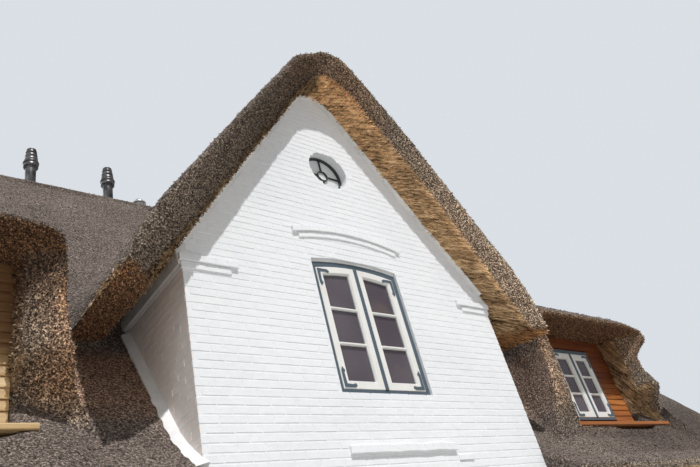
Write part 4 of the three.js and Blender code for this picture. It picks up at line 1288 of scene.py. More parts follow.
# The round window's pale glass is a painted reflection of the sky
SKY_REFLECTION_TONES = ((0.70, 0.73, 0.72), (0.82, 0.84, 0.84))
SKY_REFLECTING_GLASS = glass_finish("round_window_glass", *SKY_REFLECTION_TONES, alpha=0.97, streaks=0.0)
print("finishes:", BLUE_GREY.name, OFF_WHITE.name, GLASS.name, SKY_REFLECTING_GLASS.name)

# %% [markdown]
# ## Casement windows
# Every window has two sashes in a blue-grey frame under a flat brick arch. The sashes meet at a
# blue-grey cover strip. Each has three panes, bedded in a putty bevel, and its outer corners
# carry L-shaped iron straps that turn the hinges. One function builds a window round its own
# middle line, and a shift sets it in its wall. The top edges all follow the same arch, so the
# frame, the sashes and the top panes take it from one formula.

# %% Window builder
ARCH_STEPS = 8
STILE = 0.088
PUTTY = (0.014, 0.020)
GLASS_IN = 0.034
BAR = 0.030
STRIP_HALF = 0.022
PANE_ROWS = 3
FRAME_DEEP, SASH_DEEP = 0.06, 0.045
SASH_PROUD = 0.005
PANE_THICK = 0.008
REBATE = 0.004
PLAY = 0.002
SEAL = 0.006
STRAP = 0.034
STRAP_DOWN, STRAP_ACROSS = 0.17, 0.125
STRAP_IN = 0.014


def arched(half, low, spring, rise, left=-1.0, right=1.0, steps=ARCH_STEPS):
    """An outline between two shares of the half width, with a flat arch on top."""
    across = np.linspace(right, left, steps + 1)
    top = [(half * share, spring + rise * (1 - share * share)) for share in across]
    return np.array([(half * left, low), (half * right, low), *top])


def strap_outline(side, up, corner, long_leg, short_leg):
    """An L with lobed ends: one leg down the stile, one along the rail."""
    x, z = corner
    lobe = STRAP * 0.75
    legs = [
        (0, 0),
        (short_leg, 0),
        (short_leg + lobe * 0.5, -STRAP * 0.3),
        (short_leg + lobe, -STRAP * 0.5),
        (short_leg + lobe * 0.5, -STRAP * 1.15),
        (short_leg - lobe, -STRAP * 0.85),
        (STRAP * 0.95, -STRAP),
        (STRAP * 0.8, lobe - long_leg),
        (STRAP * 1.25, -long_leg),
        (STRAP * 0.45, -long_leg - lobe * 1.4),
        (0, -long_leg),
    ]
    outline = [(x - side * along, z + up * rise) for along, rise in legs]
    return outline if side * up < 0 else outline[::-1]


def glaze(painted, panes, place, pane, front, above_bar):
    """One pane, with a thin dark seal round it."""
    glass = front + GLASS_IN
    panes.slab(pane, glass, glass + PANE_THICK, 0.001, place)
    seal = inset(pane, BAR * 0.42 if above_bar else SEAL)
    painted.frame(seal, SEAL, glass - 0.003, glass + 0.001, 0.001, place, (0.001, 0.001))


def straps(painted, place, side, half, low, high, front):
    """The two L-shaped straps on a sash's outer corners."""
    for up, corner_z in ((1, high), (-1, low)):
        strap = strap_outline(side, up, (side * (half - STRAP_IN), corner_z), STRAP_DOWN, STRAP_ACROSS)
        painted.slab(strap, front - 0.005, front + 0.004, 0.0015, place)


def sash(painted, sashes, panes, place, half, low, spring, rise, side, front):
    """One sash with its bars, panes, seals and straps."""
    inner_edge = (STRIP_HALF - 0.006) / half
    shares = (inner_edge, 1.0) if side > 0 else (-1.0, -inner_edge)
    outer = arched(half, low, spring, rise, *shares, ARCH_STEPS // 2)
    sashes.frame(outer, STILE, front, front + SASH_DEEP, 0.004, place, PUTTY)
    light = inset(outer, STILE - REBATE)
    left, right = light[:, 0].min(), light[:, 0].max()
    top_rise = light[2:, 1].min()
    levels = np.linspace(light[0][1], top_rise, PANE_ROWS + 1)
    for level in levels[1:-1]:
        bar = rectangle(left, right, level - BAR / 2, level + BAR / 2)
        sashes.slab(bar, front + 0.005, front + GLASS_IN + 0.006, 0.010, place)
    for row, (under, over) in enumerate(zip(levels, levels[1:])):
        pane = np.array(rectangle(left, right, under, over))
        if row == PANE_ROWS - 1:
            pane = np.array([(left, under), (right, under), *light[2:]])
        glaze(painted, panes, place, pane, front, row > 0)
    straps(painted, place, side, half, low + 0.014, spring + rise * 0.05 - 0.016, front)


def casement(painted, sashes, panes, place, half, low, spring, rise, edge, front):
    """A window in its frame. front is how far the frame stands back from the wall."""
    outer = arched(half, low, spring, rise)
    painted.frame(outer, edge, front, front + FRAME_DEEP, 0.003, place)
    inner_half = half - edge - PLAY
    inner_low, inner_spring = low + edge + PLAY, spring - edge - PLAY
    sash_sizes = (inner_half, inner_low, inner_spring, rise)
    for side in (-1, 1):
        sash(painted, sashes, panes, place, *sash_sizes, side, front - SASH_PROUD)
    strip = rectangle(-STRIP_HALF, STRIP_HALF, inner_low, inner_spring + rise)
    painted.slab(strip, front - 0.014, front + 0.02, 0.004, place)


def joineries(name):
    """Meshes for a window's painted parts, its sashes and its panes."""
    return [Joinery(name + part) for part in ("_joinery", "_sashes", "_panes")]


def box_on_front(node):
    """(left, right, low, high, depth of the front) of a CAD node, measured on the front wall."""
    lowest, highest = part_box(node)
    return lowest[0], highest[0], lowest[2], highest[2], lowest[1] + HALF_DEPTH


# %% The gable's window
HEAD_FILL = 0.030
ARCH_RISE = 0.055
FRAME_EDGE = 0.055

left, right, low, high, front = box_on_front("gable_window_frame")
spring = high - ARCH_RISE - HEAD_FILL
painted, sashes, panes = joineries("gable_window")
casement(painted, sashes, panes, ON_FRONT, right, low, spring, ARCH_RISE, FRAME_EDGE, front)
painted.done(BLUE_GREY, "blue_grey_paint", "gable_window_frame")
sashes.done(OFF_WHITE, "off_white_paint", "gable_sash_left", "gable_sash_right")
panes.done(GLASS, "glass", "gable_window_glass")
print("gable window", round(right - left, 2), "m wide")

# %% [markdown]
# ## Rows of windows on the ground floor
# The windows below, at the ends and at the rear repeat the gable's window at a lower height. Each
# row is one CAD node, and here it is split by finish into frames, sashes and panes. The boards
# under the windows on the room side go with the sashes.

# %% Ground floor windows
LOW_SILL = 0.85
LOW_SPRING = 2.08
LOW_WINDOW_IN = 0.03
OPENING_HALF = 0.595
INNER_BOARD = (0.085, 0.44)
INNER_BOARD_THICK = 0.03
FIT = 0.001
FRONT_AT = (3.45, 6.45)
LEFT_AT = tuple(-at for at in FRONT_AT)
REAR_AT = (-6.45, -2.15, 2.15, 6.45)
END_AT = (-1.5, 1.5)
ROWS = {
    "front_windows_right": (ON_FRONT, FRONT_AT),
    "front_windows_left": (ON_FRONT, LEFT_AT),
    "rear_windows": (ON_REAR, REAR_AT),
    "end_windows_right": (ON_RIGHT_END, END_AT),
    "end_windows_left": (ON_LEFT_END, END_AT),
}
for row, (wall, places_along) in ROWS.items():
    painted, sashes, panes = joineries(row)
    window_sizes = (OPENING_HALF - FIT, LOW_SILL + FIT, LOW_SPRING, ARCH_RISE - FIT)
    board_half = OPENING_HALF - 2 * FIT
    board = rectangle(-board_half, board_half, LOW_SILL + FIT, LOW_SILL + INNER_BOARD_THICK)
    for along in places_along:
        place = shifted(wall, along)
        casement(painted, sashes, panes, place, *window_sizes, FRAME_EDGE, LOW_WINDOW_IN)
        sashes.slab(board, *INNER_BOARD, 0.006, place)
    painted.done(BLUE_GREY, "blue_grey_paint", row)
    sashes.done(OFF_WHITE, "off_white_paint")
    panes.done(GLASS, "glass")

# %% [markdown]
# ## The round window
# High in the gable sits a small round window: a dark ring, a smaller ring in its middle and four
# bars between them, in front of pale glass whose pale colour is a painted reflection of the sky.
# It stands far back, so its brick reveal shows.

# %% Round window
ROUND_STEPS = 40
HUB = 0.078
SPOKE = 0.014
SPOKES = 4
ROUND_RING = 0.024
RING_LAP = 0.01
PANE_LAP = 0.02


def circle(radius, centre, steps=ROUND_STEPS):
    angles = np.arange(steps) * 2 * math.pi / steps
    return np.stack([radius * np.cos(angles), centre + radius * np.sin(angles)], axis=1)


left, right, low, high, front = box_on_front("round_window_frame")
centre = (low + high) / 2
rings, panes = Joinery("round_window_joinery"), Joinery("round_window_panes")
rings.frame(circle(right, centre), ROUND_RING, front, front + 0.05, 0.005, ON_FRONT, (0.008, 0.010))
rings.frame(circle(HUB, centre), SPOKE, front + 0.008, front + 0.045, 0.005, ON_FRONT, (0.004, 0.004))
inner, outer = HUB - RING_LAP, right - PANE_LAP
for turn in range(SPOKES):
    angle = math.radians(360 / SPOKES * turn)
    ahead = np.array([math.cos(angle), math.sin(angle)])
    beside = np.array([-math.sin(angle), math.cos(angle)])
    corners = [(inner, -1), (outer, -1), (outer, 1), (inner, 1)]
    spoke = [reach * ahead + sign * SPOKE / 2 * beside + (0, centre) for reach, sign in corners]
    rings.slab(spoke, front + 0.010, front + 0.045, 0.004, ON_FRONT)
panes.slab(circle(outer, centre), front + 0.032, front + 0.040, 0.002, ON_FRONT)
rings.done(BLACK_IRON, "blue_grey_paint", "round_window_frame")
panes.done(SKY_REFLECTING_GLASS, "glass", "round_window_glass")
print("round window", round(right - left, 2), "m across")

# %% [markdown]
# ## Oiled boards of the dormers
# The fronts of the dormers are clad with narrow horizontal boards and a plank of the same timber
# is the sill. The right dormer's are oiled to a warm orange, the left one's are bleached, and
# both get a painted shade high up, under the hood. On each board the grain runs along it, as long
# thin streaks with a few darker bands, and each board was cut from another place in the log. A
# number painted on each board therefore shifts its grain and its tone.

# %% Board finish
OILED = ((0.160, 0.044, 0.010), (0.370, 0.120, 0.024), (0.540, 0.225, 0.058))
BLEACHED = ((0.300, 0.160, 0.060), (0.560, 0.380, 0.180), (0.740, 0.560, 0.320))
# Above this height the boards get a painted shade, under the hood
HOOD_SHADE_FROM = 3.80
HOOD_SHADE_TINT = (0.40, 0.29, 0.24)


def board_finish(name, dark, middle, light):
    f = Finish(name)
    own = f.attribute("board")
    lengthwise = f.place((0.6, 3.0, 7.0))
    moved = f.node("ShaderNodeCombineXYZ", {"X": own * 7.3, "Y": own * 3.1, "Z": own * 11.7})
    grain_point = f.node("ShaderNodeVectorMath", {0: lengthwise, 1: moved}, {"operation": "ADD"})
    rings = f.noise(grain_point, 3.5, 4.0, 0.6)
    fibre = f.noise(f.place((2, 60, 90)), 4.0, 3.0)
    tone = rings * 1.1 + fibre * 0.35 + own * 0.35 - 0.45
    colour = three_tones(f, tone, dark, middle, light)
    # painted shade on the boards above 3.8 m, under the hood
    height = f.node("ShaderNodeSeparateXYZ", {"Vector": f.place()}, out=2)
    shade_zone = height.step(HOOD_SHADE_FROM, HOOD_SHADE_FROM + 0.3)
    colour = f.multiply(shade_zone, colour, HOOD_SHADE_TINT)
    relief = fibre * 0.6 + rings * 0.4
    return f.use(Base_Color=colour, Roughness=rings * 0.2 + 0.38, Normal=f.bump(relief, 0.003, 0.6))


BOARDS = {
    "right": board_finish("oiled_boards", *OILED),
    "left": board_finish("bleached_boards", *BLEACHED),
}
print("finishes:", [finish.name for finish in BOARDS.values()])

# %% [markdown]
# ## Boards, sills and windows of the dormers
# Each board laps a little over the one below, so it is a slab that leans out at its foot. The
# boards stop at the window, which stands a little proud of them, and the top board ends under
# the reed. The window is the same casement with a straight head.

# %% Dormer fronts
BOARD_HEIGHT = 0.088
BOARD_LAP = 0.010
BOARD_GAP = 0.003
BOARD_THICK = 0.03
BACKING = (0.031, 0.05)
BACKING_TONE, SILL_TONE = 0.1, 0.55
WINDOW_GAP = 0.002
DORMER_EDGE = 0.036
BOARD_SEEDS = {"left": 11, "right": 12}


def lapped_board(joinery, left, right, low, high, face, back, place):
    """A board whose foot stands proud of its top."""
    foot = face - BOARD_LAP
    corners = [(face, low), (foot, low + 0.002), (foot, low + 0.010), (face, high), (back, high), (back, low)]
    loops = [[(along, depth, up) for depth, up in corners] for along in (left, right)]
    joinery.loft(loops, place)


def add_backing(boards, tones, sizes, face):
    """A plain board behind the lapped ones, which closes the gaps between them."""
    boards.slab(rectangle(*sizes), face + BACKING[0], face + BACKING[1], 0.001, ON_FRONT)
    tones += [BACKING_TONE] * (len(boards.places) - len(tones))


def dormer_fronts(side_name):
    """The boards round a dormer's window. Hands over the window's box."""
    left, right, low, high, face = box_on_front("dormer_boards_" + side_name)
    if side_name == "left":
        right += LEFT_DORMER_WIDER
    window_left, window_right, sill, head, window_front = box_on_front("dormer_window_" + side_name)
    rng = np.random.default_rng(BOARD_SEEDS[side_name])
    boards, tones = Joinery("dormer_cladding_" + side_name), []
    count = round((high - low) / BOARD_HEIGHT)
    levels = np.linspace(low, high, count + 1)
    for under, over in zip(levels, levels[1:]):
        spans = [(left, right)]
        if over > sill + 0.01 and under < head - 0.01:
            spans = [(left, window_left - WINDOW_GAP), (window_right + WINDOW_GAP, right)]
        for start, end in spans:
            foot, top = under + FIT, over - BOARD_GAP
            lapped_board(boards, start, end, foot, top, face, face + BOARD_THICK, ON_FRONT)
            tones += [rng.uniform()] * (len(boards.places) - len(tones))
    for start, end in ((left, window_left - FIT), (window_right + FIT, right)):
        add_backing(boards, tones, (start, end, low, high), face)
    for under, over in ((low, sill - FIT), (head + FIT, high)):
        add_backing(boards, tones, (window_left, window_right, under, over), face)
    made = boards.done(BOARDS[side_name], "boards", "dormer_boards_" + side_name)
    put_layer(made.data, "board", tones)
    return window_left, window_right, sill, head, window_front


def dormer_window(side_name, window_left, window_right, sill, head, window_front):
    """The casement of a dormer, with a strip of trim over its head."""
    place = shifted(ON_FRONT, (window_left + window_right) / 2)
    parts = ("joinery", "sashes", "panes")
    painted, sashes, panes = [Joinery(f"dormer_{part}_{side_name}") for part in parts]
    half = (window_right - window_left) / 2
    casement(painted, sashes, panes, place, half, sill, head, 0.0, DORMER_EDGE, window_front)
    trim = rectangle(-half, half, head - 0.002, head + 0.02)
    painted.slab(trim, window_front - 0.004, window_front + 0.02, 0.004, place)
    painted.done(BLUE_GREY, "blue_grey_paint", "dormer_window_" + side_name)
    sashes.done(OFF_WHITE, "off_white_paint")
    panes.done(GLASS, "glass", "dormer_glass_" + side_name)


SILL_REACH = {"left": 1.25, "right": 1.54}
SILL_THICK = 0.050
SILL_EDGE, SILL_ROUND = 0.010, 0.003
DRIP_GROOVE = 0.008


def dormer_sill(side_name):
    """A plank with rounded front edges and a groove along its underside."""
    (left, front, _), (right, back, high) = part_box("dormer_sill_" + side_name)
    front, back = front + HALF_DEPTH, back + HALF_DEPTH
    middle = (left + right) / 2
    low = high - SILL_THICK
    plank = Joinery("dormer_plank_" + side_name)
    profile = [
        (back, low),
        (back, high),
        (front + SILL_EDGE, high),
        (front + SILL_ROUND, high - SILL_ROUND),
        (front, high - SILL_EDGE),
        (front, low + SILL_EDGE),
        (front + SILL_ROUND, low + SILL_ROUND),
        (front + SILL_EDGE, low),
        (front + 0.03, low),
        (front + 0.033, low + DRIP_GROOVE),
        (front + 0.043, low + DRIP_GROOVE),
        (front + 0.046, low),
    ]
    reach = (left, middle - DORMER_HALF, middle + DORMER_HALF, middle + SILL_REACH[side_name])
    plank.loft([[(along, depth, up) for depth, up in profile] for along in reach], ON_FRONT)
    made = plank.done(BOARDS[side_name], "boards", "dormer_sill_" + side_name)
    put_layer(made.data, "board", [SILL_TONE] * len(made.data.vertices))


for side_name in ("left", "right"):
    dormer_window(side_name, *dormer_fronts(side_name))
    dormer_sill(side_name)

# %% [markdown]
# ## Painted brick
# The walls are brick in a running bond, painted white so often that only soft, bluish joint
# lines are left. Several thousand bricks are the same body again and again, so Geometry Nodes
# make them: a wall's bricks are points with a size and a small turn, and the tree sets one
# chamfered brick on each. The bricks stand a few millimetres in front of the plain wall, which
# shows between them as the joints.

# %% Wall finishes
PATCH_TINT = (0.90, 0.91, 0.93)
BLOTCH_TINT = (0.93, 0.94, 0.96)
PIT_TINT = (0.72, 0.73, 0.75)


def painted_brick_finish(name, colour, joints=False):
    f = Finish(name)
    point = f.place()
    patches = f.noise(point, 1.1, 4.0)
    blotches = f.noise(point, 13.0, 3.0)
    grit = f.noise(point, 140.0, 3.0, 0.6)
    pits = f.cells(point, 60.0)
    tone = f.multiply(patches.step(0.42, 0.72) * 0.5, colour, PATCH_TINT)
    tone = f.multiply(blotches.step(0.40, 0.75) * 0.45, tone, BLOTCH_TINT)
    in_pits = (1 - pits.step(0.02, 0.12)) * grit.step(0.5, 0.62)
    tone = f.multiply(in_pits * 0.35, tone, PIT_TINT)
    relief = grit * 0.5 + pits.step(0.0, 0.25) * 0.5
    surface = f.bump(relief, 0.003, 0.5, f.bump(blotches, 0.012, 0.4))
    rough = 0.75 if joints else 0.6
    return f.use(Base_Color=tone, Roughness=grit * 0.2 + rough - 0.1, Normal=surface)


WHITE_BRICK = painted_brick_finish("white_painted_brick", (0.845, 0.85, 0.86))
WHITE_JOINTS = painted_brick_finish("white_painted_joints", (0.825, 0.835, 0.85), joints=True)
# The cheeks are tinted warm: a painted light, the warm light that the golden reed throws on them
CHEEK_BRICK_WARM_BOUNCE = painted_brick_finish("white_cheek_brick_painted_warm_light", (0.90, 0.83, 0.78))
CHEEK_JOINTS_WARM_BOUNCE = painted_brick_finish("white_cheek_joints_painted_warm_light", (0.88, 0.81, 0.77), joints=True)
print("finishes:", WHITE_BRICK.name, WHITE_JOINTS.name)

# %% [markdown]
# ## A small builder for Geometry Nodes
# A tree gets its named sizes as inputs, nodes from one method, and hands back a plain mesh: the
# modifier's values are set by each socket's identifier, the evaluated object is turned into a
# new mesh, and the modifier is taken off the carrier again.

# %% Geometry Nodes helper
class Recipe:
    """A Geometry Nodes tree with named sizes."""

    def __init__(self, name, sizes):
        self.tree = bpy.data.node_groups.new(name, "GeometryNodeTree")
        interface = self.tree.interface
        interface.new_socket("Geometry", in_out="INPUT", socket_type="NodeSocketGeometry")
        interface.new_socket("Geometry", in_out="OUTPUT", socket_type="NodeSocketGeometry")
        self.keys = {}
        for label, (kind, value) in sizes.items():
            socket = interface.new_socket(label, in_out="INPUT", socket_type=kind)
            if value is not None:
                socket.default_value = value
            self.keys[label] = socket.identifier
        self.given = self.tree.nodes.new("NodeGroupInput")
        self.result = self.tree.nodes.new("NodeGroupOutput")

    def size(self, label):
        return self.given.outputs[label]

    def node(self, kind, inputs=None, settings=None, out=0):
        made = self.tree.nodes.new(kind)
        for name, value in (settings or {}).items():
            setattr(made, name, value)
        for name, value in (inputs or {}).items():
            if isinstance(value, bpy.types.NodeSocket):
                self.tree.links.new(value, made.inputs[name])
            else:
                made.inputs[name].default_value = value
        return made.outputs[out]

    def named(self, label, kind="FLOAT"):
        return self.node("GeometryNodeInputNamedAttribute", {"Name": label}, {"data_type": kind})

    def finish(self, instances):
        real = self.node("GeometryNodeRealizeInstances", {"Geometry": instances})
        coloured = self.node("GeometryNodeSetMaterial", {"Geometry": real, "Material": self.size("Finish")})
        self.tree.links.new(coloured, self.result.inputs[0])

    def make(self, name, carrier, **values):
        """Runs the tree on an object and returns the plain result as a new object."""
        modifier = carrier.modifiers.new("recipe", "NODES")
        modifier.node_group = self.tree
        for label, value in values.items():
            modifier[self.keys[label.replace("_", " ")]] = value
        ready = carrier.evaluated_get(bpy.context.evaluated_depsgraph_get())
        mesh = bpy.data.meshes.new_from_object(ready)
        carrier.modifiers.remove(modifier)
        mesh.name = name
        return linked(name, mesh)


def points_object(name, places, **layers):
    """A mesh of loose points with vector attributes."""
    mesh = bpy.data.meshes.new(name)
    mesh.vertices.add(len(places))
    mesh.vertices.foreach_set("co", np.asarray(places, np.float32).ravel())
    for label, values in layers.items():
        put_layer(mesh, label, values)
    return linked(name, mesh)


# %% The brick tree
BRICK_FRONT_DEPTH = 0.4
BRICK_UNIT_DEPTH = 1.0 + BRICK_FRONT_DEPTH
BRICK_UNIT_FRONT = 0.5 + BRICK_FRONT_DEPTH
BEVEL_ON_HEIGHT = 2.6


def brick_recipe():
    """A cube with a smaller block on its front, set on each point with its size and turn."""
    r = Recipe("bricks", {"Bevel": ("NodeSocketFloat", 0.05), "Finish": ("NodeSocketMaterial", None)})
    cube = r.node("GeometryNodeMeshCube", {"Size": (1, 1, 1)})
    normal = r.node("GeometryNodeInputNormal")
    facing = r.node("ShaderNodeSeparateXYZ", {0: normal}, out="Y")
    less = {"data_type": "FLOAT", "operation": "LESS_THAN"}
    front = r.node("FunctionNodeCompare", {"A": facing, "B": -0.5}, less)
    extruded = r.tree.nodes.new("GeometryNodeExtrudeMesh")
    r.tree.links.new(cube, extruded.inputs["Mesh"])
    r.tree.links.new(front, extruded.inputs["Selection"])
    extruded.inputs["Offset Scale"].default_value = BRICK_FRONT_DEPTH
    smaller_by = r.node("ShaderNodeMath", {0: 1.0, 1: r.size("Bevel")}, {"operation": "SUBTRACT"})
    inputs = {0: r.size("Bevel"), 1: -BEVEL_ON_HEIGHT}
    less_high = r.node("ShaderNodeMath", inputs, {"operation": "MULTIPLY"})
    height = r.node("ShaderNodeMath", {0: less_high, 1: 1.0}, {"operation": "ADD"})
    factor = r.node("ShaderNodeCombineXYZ", {"X": smaller_by, "Y": 1.0, "Z": height})
    place = r.node("GeometryNodeInputPosition")
    moved = r.node("ShaderNodeVectorMath", {0: place, 1: factor}, {"operation": "MULTIPLY"})
    inputs = {"Geometry": extruded.outputs["Mesh"], "Selection": extruded.outputs["Top"], "Position": moved}
    brick = r.node("GeometryNodeSetPosition", inputs)
    turn = r.node("FunctionNodeEulerToRotation", {"Euler": r.named("turn", "FLOAT_VECTOR")})
    instances = r.node("GeometryNodeInstanceOnPoints", {
        "Points": r.given.outputs["Geometry"],
        "Instance": brick,
        "Rotation": turn,
        "Scale": r.named("size", "FLOAT_VECTOR"),
    })
    r.finish(instances)
    return r


BRICKS = brick_recipe()
print("tree:", BRICKS.tree.name, len(BRICKS.tree.nodes), "nodes")

# %% [markdown]
# ## Single reeds
# A skin alone has a clean edge, but reed frays: stalks stick out along the skyline, the cut faces
# are stalk ends, and under the overhangs whole stalks lie side by side. A Geometry Nodes tree
# scatters three-sided stalks over a skin. Their number follows the painted density, their
# direction the painted lie with some disorder, and each stalk gets a tone of its own.

# %% The stalk tree
def stalk_recipe():
    """Scatters stalks by density and turns each to its lie. Tone, turn and length are random."""
    r = Recipe("stalks", {
        "For Each Square Metre": ("NodeSocketFloat", 1500.0),
        "Disorder": ("NodeSocketFloat", 0.3),
        "Seed": ("NodeSocketInt", 7),
        "Finish": ("NodeSocketMaterial", None),
    })
    inputs = {0: r.named("density"), 1: r.size("For Each Square Metre")}
    many = r.node("ShaderNodeMath", inputs, {"operation": "MULTIPLY"})
    inputs = {"Mesh": r.given.outputs["Geometry"], "Density": many, "Seed": r.size("Seed")}
    points = r.node("GeometryNodeDistributePointsOnFaces", inputs)
    own = r.node("FunctionNodeRandomValue", {2: -0.25, 3: 0.45, "Seed": 3}, {"data_type": "FLOAT"}, out=1)
    inputs = {"Geometry": points, "Name": "tone", "Value": own}
    toned = r.node("GeometryNodeStoreNamedAttribute", inputs, {"data_type": "FLOAT"})
    inputs = {0: (-1, -1, -1), 1: (1, 1, 1), "Seed": 4}
    off = r.node("FunctionNodeRandomValue", inputs, {"data_type": "FLOAT_VECTOR"})
    off = r.node("ShaderNodeVectorMath", {0: off, "Scale": r.size("Disorder")}, {"operation": "SCALE"})
    lie = r.node("ShaderNodeVectorMath", {0: r.named("lie", "FLOAT_VECTOR"), 1: off}, {"operation": "ADD"})
    turn = r.node("FunctionNodeAlignRotationToVector", {"Vector": lie}, {"axis": "Z"})
    grown = r.node("FunctionNodeRandomValue", {2: 0.6, 3: 1.35, "Seed": 5}, {"data_type": "FLOAT"}, out=1)
    inputs = {0: r.named("size", "FLOAT_VECTOR"), "Scale": grown}
    size = r.node("ShaderNodeVectorMath", inputs, {"operation": "SCALE"})
    inputs = {"Vertices": 3, "Radius Top": 0.8, "Radius Bottom": 1.0, "Depth": 1.0}
    stalk = r.node("GeometryNodeMeshCone", inputs)
    sunk = r.node("GeometryNodeTransform", {"Geometry": stalk, "Translation": (0, 0, -0.62)})
    inputs = {"Points": toned, "Instance": sunk, "Rotation": turn, "Scale": size}
    r.finish(r.node("GeometryNodeInstanceOnPoints", inputs))
    return r


STALKS = stalk_recipe()
print("tree:", STALKS.tree.name, len(STALKS.tree.nodes), "nodes")

# %% Reeds on the front's skins
STALK_SIZES = {"For_Each_Square_Metre": 2100.0, "Disorder": 0.28, "Finish": REED}

for seed, place_name in enumerate(("left", "gable", "right")):
    carrier = skins["thatch_" + place_name + "_skin"]
    stalks = STALKS.make("reeds_" + place_name, carrier, Seed=seed, **STALK_SIZES)
    dressed(stalks, "thatch")

# %% [markdown]
# ## Laying the courses
# For each wall a function gives the stretches of wall at a height, with the openings left out.
# A course starts with a half brick every second time, so the upright joints are staggered, and
# every brick is off its place by a millimetre or so, as laid by hand.

# %% Laying bricks
COURSE = 0.0752
BRICK_HIGH = 0.0645
BRICK_LONG = 0.240
JOINT = 0.0105
BRICK_STEP = BRICK_LONG + JOINT
OFF_PLACE = 0.001
OFF_DEPTH = 0.0008
OFF_TURN = (0.006, 0.003, 0.002)
BRICK_PROUD = 0.0030
BRICK_SUNK = 0.008
SHORTEST = 0.045


def without(spans, left, right):
    """The spans with the stretch from left to right taken out."""
    rest = []
    for start, end in spans:
        if right <= start or left >= end:
            rest.append((start, end))
            continue
        if left > start:
            rest.append((start, left))
        if right < end:
            rest.append((right, end))
    return rest


def lay(name, spans_at, low, high, place, turn, seed, finish=WHITE_BRICK):
    """Bricks of one wall. place is the wall's, turn its angle, spans_at(height) its stretches."""
    rng = np.random.default_rng(seed)
    places, sizes, turns = [], [], []
    for row, bed in enumerate(np.arange(low, high - BRICK_HIGH, COURSE)):
        middle = bed + COURSE / 2
        for start, end in spans_at(middle):
            at = math.floor(start / BRICK_STEP) * BRICK_STEP + (row % 2) * BRICK_STEP / 2
            while at < end:
                left, right = max(at, start), min(at + BRICK_LONG, end)
                at += BRICK_STEP
                if right - left < SHORTEST:
                    continue
                proud = BRICK_PROUD + rng.uniform(-OFF_DEPTH, OFF_DEPTH)
                depth = (proud + BRICK_SUNK) / BRICK_UNIT_DEPTH
                height = middle + rng.uniform(-OFF_PLACE, OFF_PLACE)
                places.append(((left + right) / 2, BRICK_UNIT_FRONT * depth - proud, height))
                sizes.append((right - left, depth, BRICK_HIGH + rng.uniform(-OFF_PLACE, OFF_PLACE)))
                tilts = [rng.normal(0, off) for off in OFF_TURN]
                turns.append((tilts[0], tilts[1], turn + tilts[2]))
    carrier = points_object(name + "_points", place(places), size=sizes, turn=turns)
    made = BRICKS.make(name, carrier, Bevel=0.035, Finish=finish)
    bpy.data.objects.remove(carrier)
    dressed(made, "white_brick")


RAKE_LEFT = (7.78, 1.40)
RAKE_RIGHT = (7.976, 1.37)
RAKE_SPARE = 0.02
DOOR_HALF, DOOR_SPRING, DOOR_RISE = 0.52, 2.56, 0.05
WINDOW_SILL, WINDOW_SPRING = 3.52, 5.0
ROUND_AT, ROUND_RADIUS = 6.37, 0.275


def arch_half(half, spring, rise, height):
    """Half of an arched opening's width at a height above its sill."""
    if height < spring:
        return half
    return half * math.sqrt(max(1 - (height - spring) / rise, 0))


def gable_spans(height):
    """The gable's front: narrower along the rakes, with the window, the doorway and the round window."""
    left = max(-GABLE_HALF - BRICK_PROUD, (height - RAKE_LEFT[0]) / RAKE_LEFT[1] - RAKE_SPARE)
    right = min(GABLE_HALF + BRICK_PROUD, (RAKE_RIGHT[0] - height) / RAKE_RIGHT[1] + RAKE_SPARE)
    spans = [(left, right)] if right - left > 0.1 else []
    if WINDOW_SILL < height < WINDOW_SPRING + ARCH_RISE:
        half = arch_half(OPENING_HALF, WINDOW_SPRING, ARCH_RISE, height)
        spans = without(spans, -half, half)
    if height < DOOR_SPRING + DOOR_RISE:
        half = arch_half(DOOR_HALF, DOOR_SPRING, DOOR_RISE, height)
        spans = without(spans, -half, half)
    from_round = abs(height - ROUND_AT)
    if from_round < ROUND_RADIUS:
        half = math.sqrt(ROUND_RADIUS**2 - from_round**2)
        spans = without(spans, -half, half)
    return spans


def row_spans(start, end, windows):
    """A straight wall with a row of ground floor windows."""

    def spans_at(height):
        spans = [(start, end)]
        for at in windows:
            if LOW_SILL < height < LOW_SPRING + ARCH_RISE:
                half = arch_half(OPENING_HALF, LOW_SPRING, ARCH_RISE, height)
                spans = without(spans, at - half, at + half)
        return spans

    return spans_at


WALL_HIGH = 2.36
GABLE_BRICKS_HIGH = 7.80
HOUSE_CORNER = HALF_LENGTH + BRICK_PROUD
BESIDE_GABLE = GABLE_HALF + 0.01

lay("gable_bricks", gable_spans, 0.0, GABLE_BRICKS_HIGH, ON_FRONT, 0.0, 21)
for name, wall, turn, start, end, windows, seed in (
    ("front_bricks_right", ON_FRONT, 0.0, BESIDE_GABLE, HOUSE_CORNER, FRONT_AT, 22),
    ("front_bricks_left", ON_FRONT, 0.0, -HOUSE_CORNER, -BESIDE_GABLE, LEFT_AT, 23),
    ("rear_bricks", ON_REAR, math.pi, -HOUSE_CORNER, HOUSE_CORNER, REAR_AT, 24),
    ("end_bricks_right", ON_RIGHT_END, math.pi / 2, -HALF_DEPTH, HALF_DEPTH, END_AT, 25),
    ("end_bricks_left", ON_LEFT_END, -math.pi / 2, -HALF_DEPTH, HALF_DEPTH, END_AT, 26),
):
    lay(name, row_spans(start, end, windows), 0.0, WALL_HIGH, wall, turn, seed)

# %% [markdown]
# ## The gable's cheeks
# Two short brick walls run back from the gable into the roof. Their foot follows the curve in
# which the main roof's reed meets them, so their courses end along that line.

# %% Cheek bricks
JUNCTION_TOP = 4.20
CHEEK_LOW, CHEEK_HIGH = 2.9324, 4.70
BEHIND_REED = 0.04
ON_LEFT_CHEEK = on_wall((-GABLE_HALF, -HALF_DEPTH, 0), (0, -1, 0), (1, 0, 0))
ON_RIGHT_CHEEK = on_wall((GABLE_HALF, -HALF_DEPTH, 0), (0, 1, 0), (-1, 0, 0))


